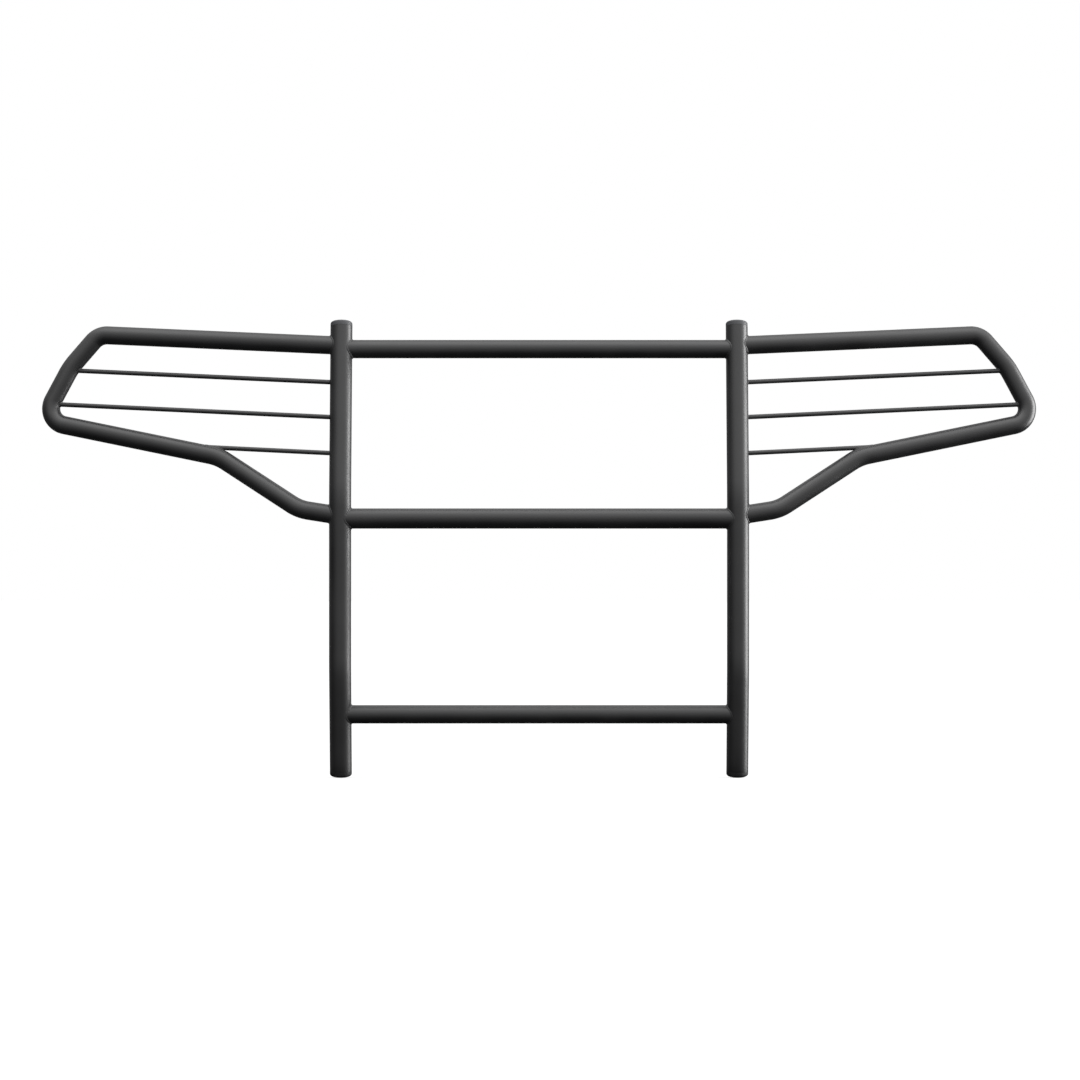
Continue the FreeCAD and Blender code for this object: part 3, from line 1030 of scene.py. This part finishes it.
@dataclass
class EndCaps:
    """The four moulded plugs: a domed flange as wide as the tube on a hollow, finned shank."""

    upright: Upright
    flange: float = 9.0
    edge_radius: float = 4.0
    roof: float = 4.0
    dome: float = 1.2
    shoulder: float = 0.35
    fin_depth: float = 0.9
    fin_pitch: float = 6.0
    fins: int = 3
    first_fin: float = 2.0
    fin_tip: float = 1.0
    fin_foot: float = 2.5
    shank_wall: float = 2.5
    shank_length: float = 22.0
    gate_radius: float = 1.6
    gate_depth: float = 0.35
    gate_slope: float = 0.3
    pole: float = 0.05
    dome_rows: int = 10
    edge_steps: int = 12
    segments: int = 72

    def profile(self) -> list[tuple[float, float]]:
        """Draw the plug's section.

        Returns:
            (radius, height) from the middle of the dome to the inside of the shank.
        """
        outer = self.upright.diameter / 2
        bore = outer - self.upright.wall
        core = bore - self.fin_depth
        flat = outer - self.edge_radius
        gate = self.flange + self.dome - self.gate_depth
        points = [(self.pole, gate), (self.gate_radius - self.gate_slope, gate)]
        for radius in np.linspace(self.gate_radius, flat, self.dome_rows)[:-1]:
            points.append((radius, self.flange + self.dome * (1 - (radius / flat) ** 2)))
        points += arc((flat, self.flange - self.edge_radius), self.edge_radius, 90, 0, self.edge_steps)
        points += [(outer, self.shoulder), (outer - self.shoulder, 0.0), (core, 0.0)]
        for fin in range(self.fins):
            top = -self.first_fin - fin * self.fin_pitch
            points += [(core, top), (bore, top - self.fin_tip), (core, top - self.fin_foot)]
        hollow, ceiling = core - self.shank_wall, self.flange - self.roof
        points += [(core, -self.shank_length), (hollow, -self.shank_length), (hollow, ceiling)]
        return points + [(self.pole, ceiling)]

    def build(self, shop: Workshop) -> None:
        """Push a plug into each end of both uprights."""
        points, headings = self.upright.tube.axis.stations()
        for where, end, facing in (("top", -1, 1), ("bottom", 0, -1)):
            outward = headings[end] * facing
            turn = np.stack((RIGHT, np.cross(outward, RIGHT), outward), axis=1)
            for side in Side:
                name = f"cap_moulding_{where}_{side.word}"
                piece = lathe(name, self.profile(), turn, self.segments, points[end], side=side)
                shop.deliver(piece, Slot.MOULDED_CAP, f"end_cap_{where}_{side.word}")


@dataclass
class CrossTubes:
    """The three straight tubes between the uprights, each cut to fit them at both ends."""

    upright: Upright
    wall: float = 2.5
    bead: Bead = Bead(seed=3.0)

    def build(self, shop: Workshop) -> None:
        """Make the three tubes and the welds at their ends."""
        left, right = self.skin(Side.LEFT), self.skin(Side.RIGHT)
        seams = []
        for where in ("top", "middle", "lower"):
            low, high = node_box(f"cross_tube_{where}")
            reach, depth, height = self.upright.point_at((low[2] + high[2]) / 2)
            axis = TubeAxis(np.array((-reach, depth, height)), RIGHT, UP, (2 * reach,))
            diameter = round(float(high[1] - low[1]), 1)
            tube = Tube(axis, diameter, self.wall, start_skin=left, end_skin=right)
            shop.deliver(tube.build(f"cross_bar_{where}"), Slot.POWDER_COAT, f"cross_tube_{where}")
            seams += [tube.seam(True, self.bead), tube.seam(False, self.bead)]
        shop.weld("welds_cross_bars", seams, self.bead)

    def skin(self, side: Side) -> TubeSkin:
        """Return the outside of one upright."""
        axis = self.upright.tube.axis
        return TubeSkin(replace(axis, start=axis.start * (side.value, 1, 1)), self.upright.diameter / 2)


@dataclass
class Wing:
    """A headlight loop: one bent tube from the top of the upright round to its middle, and rods.

    It lies in a plane that leans back with the upright and sweeps back outwards.
    """

    upright: Upright
    diameter: float = 31.8
    wall: float = 2.5
    top_height: float = 748.1
    bottom_height: float = 453.0
    sweep: float = 12.0
    rise: float = 2.9
    runs: tuple[float, ...] = (422.3, 44.6, 50.7, 271.7, 142.9, 60.7)
    turns: tuple[float, ...] = (-53.7, -13.5, -104.2, 20.6, -23.2)
    bend_radii: tuple[float, ...] = (32.0, 120.0, 32.0, 90.0, 80.0)
    rod_diameter: float = 8.0
    rod_segments: int = 32
    rod_drops: tuple[float, ...] = (65.8, 127.7, 191.4)
    rod_reaches: tuple[float, ...] = (485.0, 511.0, 262.0)
    tube_bead: Bead = Bead(seed=5.0)
    rod_bead: Bead = Bead(radius=2.2, proud=0.7, pitch=1.7, wander=0.4, seed=8.0)

    def plane(self) -> tuple[Array, Array, Array]:
        """Find the plane that the wing lies in.

        Returns:
            Where the rail starts, the way it runs, and the way up in the plane.
        """
        start = self.upright.point_at(self.top_height)
        climb = start - self.upright.point_at(self.bottom_height)
        sweep, rise = math.radians(self.sweep), math.radians(self.rise)
        level = np.array((math.cos(sweep), math.sin(sweep), 0.0))
        upward = unit(climb - level * climb.dot(level))
        along = level * math.cos(rise) + upward * math.sin(rise)
        return start, along, upward * math.cos(rise) - level * math.sin(rise)

    def build(self, shop: Workshop) -> None:
        """Make both wings with their rods and welds."""
        start, along, upward = self.plane()
        post = self.upright.tube.skin()
        bends = tuple(Bend(turn, radius) for turn, radius in zip(self.turns, self.bend_radii))
        axis = TubeAxis(start, along, upward, self.runs, bends)
        loop = Tube(axis, self.diameter, self.wall, start_skin=post, end_skin=post)
        lines = [
            TubeAxis(start - upward * drop, along, upward, (reach,))
            for drop, reach in zip(self.rod_drops, self.rod_reaches)
        ]
        ends = {"segments": self.rod_segments, "start_skin": post, "end_skin": loop.skin()}
        rods = [Tube(line, self.rod_diameter, **ends) for line in lines]
        for side in Side:
            piece = loop.build(f"wing_loop_{side.word}", side)
            shop.deliver(piece, Slot.POWDER_COAT, f"wing_tube_{side.word}")
            for rod, where in zip(rods, ("upper", "middle", "lower")):
                piece = rod.build(f"wing_bar_{where}_{side.word}", side)
                shop.deliver(piece, Slot.POWDER_COAT, f"wing_rod_{where}_{side.word}")
            for name, tubes, bead in (("loop", [loop], self.tube_bead), ("bars", rods, self.rod_bead)):
                seams = [tube.seam(end, bead) for tube in tubes for end in (True, False)]
                seams = [seam * (side.value, 1, 1) for seam in seams]
                shop.weld(f"welds_wing_{name}_{side.word}", seams, bead)


@dataclass
class PlateWork:
    """Makes plates that stand edge-on to the front, cut from sheet with softened edges."""

    edge_radius: float = 0.7
    edge_steps: int = 3
    corner_points: int = 9
    hole_points: int = 48

    FACE: ClassVar[float] = 0.999

    def rounded(self, corners: Sequence[tuple[float, float]], radii: Sequence[float]) -> list[tuple]:
        """Round the corners of an outline.

        Args:
            corners: The outline's corners in order.
            radii: Each corner's own radius, or zero to leave it sharp.

        Returns:
            Points round the outline.
        """
        points = [np.array(corner, dtype=float) for corner in corners]
        outline: list[tuple] = []
        for index, (corner, radius) in enumerate(zip(points, radii)):
            if not radius:
                outline.append(tuple(corner))
                continue
            before = unit(points[index - 1] - corner)
            after = unit(points[(index + 1) % len(points)] - corner)
            half = math.acos(float(np.clip(before.dot(after), -1, 1))) / 2
            centre = corner + unit(before + after) * radius / math.sin(half)
            first, last = (corner + way * radius / math.tan(half) - centre for way in (before, after))
            for share in np.linspace(0, 1, self.corner_points):
                outline.append(tuple(centre + unit(first * (1 - share) + last * share) * radius))
        return outline

    def cut(
        self,
        name: str,
        outline: Sequence[tuple[float, float]],
        holes: Sequence[tuple[float, float, float]],
        span: tuple[float, float],
        side: Side,
    ) -> Piece:
        """Cut one plate.

        Args:
            name: The name of the piece.
            outline: (y, z) points round it.
            holes: (y, z, radius) of each hole.
            span: The x of its two faces.
            side: The half of the guard to make it on.

        Returns:
            The plate.
        """
        curve = bpy.data.curves.new(name, "CURVE")
        curve.dimensions, curve.fill_mode = "2D", "BOTH"
        rims = [arc((y, z), radius, 0, 360, self.hole_points)[:-1] for y, z, radius in holes]
        for rim in (outline, *rims):
            spline = curve.splines.new("POLY")
            spline.points.add(len(rim) - 1)
            spline.points.foreach_set("co", [c for y, z in rim for c in (y, z, 0.0, 1.0)])
            spline.use_cyclic_u = True
        curve.extrude = (span[1] - span[0]) / 2 - self.edge_radius
        curve.bevel_depth, curve.bevel_resolution = self.edge_radius, self.edge_steps
        curve.offset = -self.edge_radius
        drawing = bpy.data.objects.new(name, curve)
        flat = bpy.data.meshes.new_from_object(drawing)
        shape = bmesh.new()
        shape.from_mesh(flat)
        for vert in shape.verts:
            y, z, x = vert.co
            vert.co = ((sum(span) / 2 + x) * side.value, y, z)
        bpy.data.objects.remove(drawing)
        bpy.data.meshes.remove(flat)
        piece = close_up(name, shape)
        for face in piece.data.polygons:
            face.use_smooth = abs(face.normal.x) < self.FACE
        return piece


@dataclass
class FrameMounts:
    """The welded tabs behind the uprights and the frame brackets bolted to them."""

    tab_corner: float = 12.0
    tab_hole_radius: float = 5.5
    bracket_corner: float = 14.0
    front_length: float = 160.0
    front_end: float = 69.0
    rear_start: float = 124.0
    rear_length: float = 150.0
    seam_step: float = 3.0
    bead: Bead = Bead(radius=3.2, wander=0.5, seed=11.0)
    plates: PlateWork = field(default_factory=PlateWork)

    def hole_places(self) -> list[tuple[float, float]]:
        """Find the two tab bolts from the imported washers.

        Returns:
            The (y, z) of each.
        """
        low, high = node_box("tab_washers")
        across, radius = (low[1] + high[1]) / 2, (high[1] - low[1]) / 2
        return [(across, low[2] + radius), (across, high[2] - radius)]

    def build(self, shop: Workshop) -> None:
        """Make the tabs, the brackets and the tabs' welds."""
        bolts = [(y, z, self.tab_hole_radius) for y, z in self.hole_places()]
        low, high = node_box("mounting_tab_right")
        corners = [(low[1], low[2]), (high[1], low[2]), (high[1], high[2]), (low[1], high[2])]
        outline = self.plates.rounded(corners, (0, self.tab_corner, self.tab_corner, 0))
        for side in Side:
            piece = self.plates.cut(f"tab_plate_{side.word}", outline, bolts, (low[0], high[0]), side)
            shop.deliver(piece, Slot.POWDER_COAT, f"mounting_tab_{side.word}")
            seam = self.tab_seam(low, high) * (side.value, 1, 1)
            shop.weld(f"welds_tab_{side.word}", [seam], self.bead)
            self.bracket(shop, bolts, side)

    def tab_seam(self, low: Array, high: Array) -> Array:
        """Find the closed line round the tab's edge where it meets the upright.

        Args:
            low: The tab's lowest corner.
            high: Its highest corner.

        Returns:
            Points round the line.
        """
        corners = [(low[0], low[2]), (high[0], low[2]), (high[0], high[2]), (low[0], high[2])]
        points = []
        for (x, z), (next_x, next_z) in zip(corners, corners[1:] + corners[:1]):
            steps = max(2, round(math.hypot(next_x - x, next_z - z) / self.seam_step))
            for share in np.arange(steps) / steps:
                points.append((x + (next_x - x) * share, low[1], z + (next_z - z) * share))
        return np.array(points)

    def bracket(self, shop: Workshop, bolts: Sequence[tuple], side: Side) -> None:
        """Make one frame bracket, with its outer holes where the record's mount puts them.

        Args:
            shop: What finishes it.
            bolts: The tab bolts' holes.
            side: Which half of the guard it stands on.
        """
        low, high = node_box("frame_bracket_right")
        (front, bottom), (rear, top) = low[1:], high[1:]
        corners = [
            (front, top - self.front_length),
            (front + self.front_end, top - self.front_length),
            (front + self.rear_start, bottom),
            (rear, bottom),
            (rear, bottom + self.rear_length),
            (front + self.rear_start, bottom + self.rear_length),
            (front + self.front_end, top),
            (front, top),
        ]
        outline = self.plates.rounded(corners, [self.bracket_corner] * len(corners))
        mount = next(m for m in frame["record"]["mounts"] if m["name"] == f"frame_bolts_{side.word}")
        _, y, z = (length / MM for length in mount["pos_m"])
        half, radius = mount["dims"]["spacing_y_mm"] / 2, mount["dims"]["hole_r_mm"]
        holes = [*bolts, (y, z - half, radius), (y, z + half, radius)]
        piece = self.plates.cut(f"bracket_plate_{side.word}", outline, holes, (low[0], high[0]), side)
        shop.deliver(piece, Slot.POWDER_COAT, f"frame_bracket_{side.word}")


@dataclass
class Fasteners:
    """The M10 bolts, washers and nuts that hold the brackets to the tabs."""

    mounts: FrameMounts
    diameter: float = 10.0
    width: float = 16.0
    head_height: float = 6.4
    length: float = 26.0
    pitch: float = 1.5
    thread_depth: float = 0.92
    thread_length: float = 17.0
    tip: float = 1.0
    fillet: float = 0.4
    fillet_length: float = 0.6
    bearing_share: float = 0.93
    bearing_height: float = 0.4
    bearing_bevel: float = 0.05
    face_share: float = 0.95
    crown_share: float = 0.9
    corner_slope: float = 30.0
    nut_height: float = 8.4
    bore_play: float = 0.05
    countersink: float = 0.6
    washer_diameter: float = 20.0
    washer_bore: float = 10.5
    washer_thickness: float = 2.0
    washer_edge: float = 0.15
    washer_bore_edge: float = 0.2
    washer_roll: float = 0.45
    washer_roll_edge: float = 0.13
    segments: int = 48

    ROWS_PER_PITCH: ClassVar[int] = 6
    FACING_X: ClassVar[Array] = np.array(((0.0, 0.0, 1.0), (1.0, 0.0, 0.0), (0.0, 1.0, 0.0)))

    def hexagon(self) -> tuple[Array, Array, float]:
        """Lay out a hexagon that is turned down at its corners.

        Returns:
            Its radii round the axis, how far each is turned down, and the turned face's radius.
        """
        sixth = math.pi / 3
        turned = (segment_angles(self.segments) + sixth / 2) % sixth - sixth / 2
        radii, face = self.width / 2 / np.cos(turned), self.width / 2 * self.face_share
        return radii, (radii - face) * math.tan(math.radians(self.corner_slope)), face

    def thread(self) -> list[tuple]:
        """Cut the bolt's thread.

        Returns:
            Rows up the shank whose radii follow the helix, fading out at the last turn.
        """
        angles = segment_angles(self.segments)
        count = round(self.thread_length / self.pitch * self.ROWS_PER_PITCH)
        rows = []
        for row in range(count + 1):
            height = self.tip - self.length + row * self.pitch / self.ROWS_PER_PITCH
            phase = (height / self.pitch + angles / (2 * math.pi)) % 1.0
            fade = min(1.0, (count - row) / self.ROWS_PER_PITCH)
            rows.append((self.diameter / 2 - self.thread_depth * np.abs(2 * phase - 1) * fade, height))
        return rows

    def bolt(self) -> Piece:
        """Return one hexagon-head bolt that faces +X, its head's underside at the origin."""
        (radii, drop, face), radius = self.hexagon(), self.diameter / 2
        bearing, crown = (self.width / 2 * share for share in (self.bearing_share, self.crown_share))
        rows = [(radius - self.thread_depth - self.tip / 2, -self.length), *self.thread()]
        rows += [(radius, -self.fillet_length), (radius + self.fillet, 0.0), (bearing, 0.0)]
        rows += [(bearing, self.bearing_height - self.bearing_bevel), (radii, self.bearing_height)]
        rows += [(radii, self.head_height - drop), (face, self.head_height), (crown, self.head_height)]
        return lathe("bolt", rows, self.FACING_X, self.segments)

    def nut(self) -> Piece:
        """Return one nut that runs from the origin to +X, turned down on both faces."""
        radii, drop, face = self.hexagon()
        bore, sink, height = self.diameter / 2 + self.bore_play, self.countersink, self.nut_height
        rows = [(bore + sink, 0.0), (face, 0.0), (radii, drop), (radii, height - drop), (face, height)]
        rows += [(bore + sink, height), (bore, height - sink), (bore, sink)]
        return lathe("nut", rows, self.FACING_X, self.segments, looped=True)

    def washer(self) -> Piece:
        """Return one stamped washer, rolled over on one rim and sharper on the other."""
        inner, outer, thick = self.washer_bore / 2, self.washer_diameter / 2, self.washer_thickness
        edge, bevel, roll = self.washer_edge, self.washer_bore_edge, self.washer_roll
        rows = [(inner, bevel), (inner + bevel, 0.0), (outer - edge, 0.0), (outer, edge)]
        shoulder = (outer - edge, thick - self.washer_roll_edge)
        rows += [(outer, thick - roll), shoulder, (outer - roll, thick)]
        rows += [(inner + bevel, thick), (inner, thick - bevel)]
        return lathe("washer", rows, self.FACING_X, self.segments, looped=True)

    def build(self, shop: Workshop) -> None:
        """Set out the bolts, washers and nuts on both sides."""
        tool = SetTool(shop.materials[Slot.ZINC_FASTENER])
        holes = self.mounts.hole_places()
        head_face, nut_face = node_box("tab_washers")[1][0], node_box("tab_nuts")[1][0]
        sets = (
            ("bolt", "tab_bolts", self.bolt(), (head_face,)),
            ("washer", "tab_washers", self.washer(), (head_face - self.washer_thickness, nut_face)),
            ("nut", "tab_nuts", self.nut(), (nut_face - self.nut_height,)),
        )
        for seed, (name, node, fastener, depths) in enumerate(sets):
            places = [np.array((x, y, z)) for x in depths for y, z in holes]
            shop.deliver(tool.set_out(f"{name}_set", fastener, places, seed), Slot.ZINC_FASTENER, node)


# ---------------------------------------------------------------------------------------- studio


@dataclass(frozen=True)
class SoftBox:
    """A rectangular softbox that faces the middle of the guard.

    Attributes:
        name: What the light is called.
        place: Where it hangs, in metres.
        size: Its width and height in metres.
        power: Its power in watts.
    """

    name: str
    place: tuple[float, float, float]
    size: tuple[float, float]
    power: float

    TARGET: ClassVar[Vector] = Vector((0.0, 0.0, 0.4))

    def hang(self) -> None:
        """Add the light."""
        light = bpy.data.lights.new(self.name, "AREA")
        light.shape, light.energy = "RECTANGLE", self.power
        light.size, light.size_y = self.size
        lamp = bpy.data.objects.new(self.name, light)
        lamp.location = self.place
        lamp.rotation_euler = (self.TARGET - Vector(self.place)).to_track_quat("-Z", "Y").to_euler()
        lamp.visible_camera = False
        bpy.context.scene.collection.objects.link(lamp)


Stops = tuple[tuple[float, float], ...]


@dataclass
class Studio:
    """A white room with softboxes, whose light changes with the direction that it comes from.

    Attributes:
        height_light: The light from straight down, at 0, to straight up, at 1.
        side_light: The light from the left, at 0, to the right, at 1.
        depth_light: The light from the front, at 0, to behind, at 1.
        contact: How far from a foot, in metres, its shadow on the floor starts and stops to fade.
    """

    camera_place: tuple[float, float, float] = (0.0016, -10.49, 0.411)
    lens: float = 201.0
    sensor: float = 36.0
    farthest: float = 200.0
    floor_size: float = 60.0
    floor_gap: float = 0.0005
    floor_shade: float = 0.3
    contact: tuple[float, float] = (0.045, 0.11)
    white: str = "#ffffff"
    floor_paint: str = "#e8e8e8"
    shadow: str = "#101010"
    softboxes: tuple[SoftBox, ...] = (
        SoftBox("overhead_softbox", (0.0, -0.6, 3.4), (4.5, 2.2), 35.0),
        SoftBox("right_softbox", (3.5, 0.5, 0.75), (1.9, 2.8), 135.0),
    )
    height_light: Stops = (
        *((0.0, 0.02), (0.14, 0.06), (0.3, 0.31), (0.5, 0.72)),
        *((0.61, 1.02), (0.74, 1.52), (0.86, 2.05), (1.0, 2.0)),
    )
    side_light: Stops = (
        *((0.0, 0.12), (0.1, 0.5), (0.25, 0.92), (0.5, 1.0)),
        *((0.84, 1.05), (0.93, 1.7), (1.0, 3.0)),
    )
    depth_light: Stops = ((0.0, 1.0), (0.6, 1.0), (0.82, 0.5), (1.0, 0.25))

    def build(self) -> None:
        """Set up the room."""
        bpy.context.scene.view_settings.view_transform = "Standard"
        self.lay_floor()
        self.light_backdrop()
        for softbox in self.softboxes:
            softbox.hang()
        self.set_camera()

    def only_seen(self, tree: Tree, seen: Socket, other: Socket) -> Socket:
        """Return a shader that shows one thing straight on and lights the guard with another."""
        straight = add_node(tree, "ShaderNodeLightPath").outputs["Is Camera Ray"]
        return add_node(tree, "ShaderNodeMixShader", links={0: straight, 1: other, 2: seen}).outputs[0]

    def lay_floor(self) -> None:
        """Lay a pale floor just under the guard that holds only its faint shadow."""
        shape = bmesh.new()
        bmesh.ops.create_grid(shape, x_segments=1, y_segments=1, size=self.floor_size / 2 / MM)
        floor = close_up("studio_floor", shape)
        floor.data.transform(Matrix.Translation((0.0, 0.0, CAD_LOW.z - self.floor_gap)))
        material = blank_material("pale_studio_floor")
        tree = material.node_tree
        glow = add_node(tree, "ShaderNodeEmission", values={"Color": linear(self.white)})
        paint = add_node(tree, "ShaderNodeBsdfDiffuse", values={"Color": linear(self.floor_paint)})
        links = {1: glow.outputs[0], 2: paint.outputs[0]}
        pale = add_node(tree, "ShaderNodeMixShader", values={0: self.floor_shade}, links=links)
        surface = self.only_seen(tree, pale.outputs[0], self.underfoot(tree))
        add_node(tree, "ShaderNodeOutputMaterial", links={"Surface": surface})
        floor.data.materials.append(material)

    def underfoot(self, tree: Tree) -> Socket:
        """Shade the floor under each upright.

        Args:
            tree: The floor's tree.

        Returns:
            A shader that is dark round each foot and lets all other light through.
        """
        low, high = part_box("end_cap_bottom_right")
        foot = (abs(low[0] + high[0]) / 2, abs(low[1] + high[1]) / 2, 0.0)
        place = add_node(tree, "ShaderNodeTexCoord").outputs["Object"]
        settings = {"operation": "ABSOLUTE"}
        folded = add_node(tree, "ShaderNodeVectorMath", settings=settings, links={0: place})
        settings, links = {"operation": "DISTANCE"}, {0: folded.outputs["Vector"]}
        apart = add_node(tree, "ShaderNodeVectorMath", settings=settings, values={1: foot}, links=links)
        values = dict(zip(("From Min", "From Max", "To Min", "To Max"), (*self.contact, 1.0, 0.0)))
        near = add_node(tree, "ShaderNodeMapRange", values=values, links={"Value": apart.outputs["Value"]})
        clear = add_node(tree, "ShaderNodeBsdfTransparent").outputs[0]
        dark = add_node(tree, "ShaderNodeBsdfDiffuse", values={"Color": linear(self.shadow)}).outputs[0]
        links = {0: near.outputs["Result"], 1: clear, 2: dark}
        return add_node(tree, "ShaderNodeMixShader", links=links).outputs[0]

    def fade(self, tree: Tree, part: Socket, stops: Stops) -> tuple[Socket, float]:
        """Turn one part of a direction into light.

        Args:
            tree: The world's nodes.
            part: The part, from -1 to 1.
            stops: Pairs of a place, from 0 to 1, and the light there.

        Returns:
            The light as a share of the brightest, and the brightest.
        """
        values = {"From Min": -1.0, "From Max": 1.0}
        share = add_node(tree, "ShaderNodeMapRange", values=values, links={"Value": part})
        ramp = add_node(tree, "ShaderNodeValToRGB", links={"Fac": share.outputs["Result"]})
        brightest = max(level for _, level in stops)
        marks = ramp.color_ramp.elements
        while len(marks) < len(stops):
            marks.new(0.5)
        for mark, (position, level) in zip(marks, stops):
            mark.position = position
            mark.color = (level / brightest,) * 3 + (1.0,)
        return ramp.outputs["Color"], brightest

    def light_backdrop(self) -> None:
        """Surround the guard with light that grows upwards and to the right, and fades behind."""
        world = bpy.data.worlds.new("studio_room")
        bpy.context.scene.world = world
        world.use_nodes = True
        tree = world.node_tree
        tree.nodes.clear()
        direction = add_node(tree, "ShaderNodeTexCoord").outputs["Generated"]
        parts = add_node(tree, "ShaderNodeSeparateXYZ", links={"Vector": direction}).outputs
        light, brightest = self.fade(tree, parts["Z"], self.height_light)
        for axis, stops in (("X", self.side_light), ("Y", self.depth_light)):
            level, most = self.fade(tree, parts[axis], stops)
            links = {0: light, 1: level}
            both = add_node(tree, "ShaderNodeVectorMath", settings={"operation": "MULTIPLY"}, links=links)
            light, brightest = both.outputs["Vector"], brightest * most
        values = {"Strength": brightest}
        room = add_node(tree, "ShaderNodeBackground", values=values, links={"Color": light}).outputs[0]
        seen = add_node(tree, "ShaderNodeBackground", values={"Color": linear(self.white)}).outputs[0]
        add_node(tree, "ShaderNodeOutputWorld", links={"Surface": self.only_seen(tree, seen, room)})

    def set_camera(self) -> None:
        """Stand the camera square in front of the guard with a long lens."""
        camera = bpy.data.objects.new("camera", bpy.data.cameras.new("camera"))
        camera.data.lens, camera.data.sensor_width = self.lens, self.sensor
        camera.data.clip_end = self.farthest
        camera.location = self.camera_place
        camera.rotation_euler = (math.radians(90), 0.0, 0.0)
        bpy.context.scene.collection.objects.link(camera)
        bpy.context.scene.camera = camera


def main() -> None:
    """Build the guard from its uprights outwards, then the room round it."""
    logging.basicConfig(level=logging.INFO, format="%(name)s: %(message)s")
    shop, upright, mounts = Workshop(), Upright(), FrameMounts()
    upright.build(shop)
    EndCaps(upright).build(shop)
    CrossTubes(upright).build(shop)
    Wing(upright).build(shop)
    mounts.build(shop)
    Fasteners(mounts).build(shop)
    Studio().build()


if __name__ == "__main__":
    main()
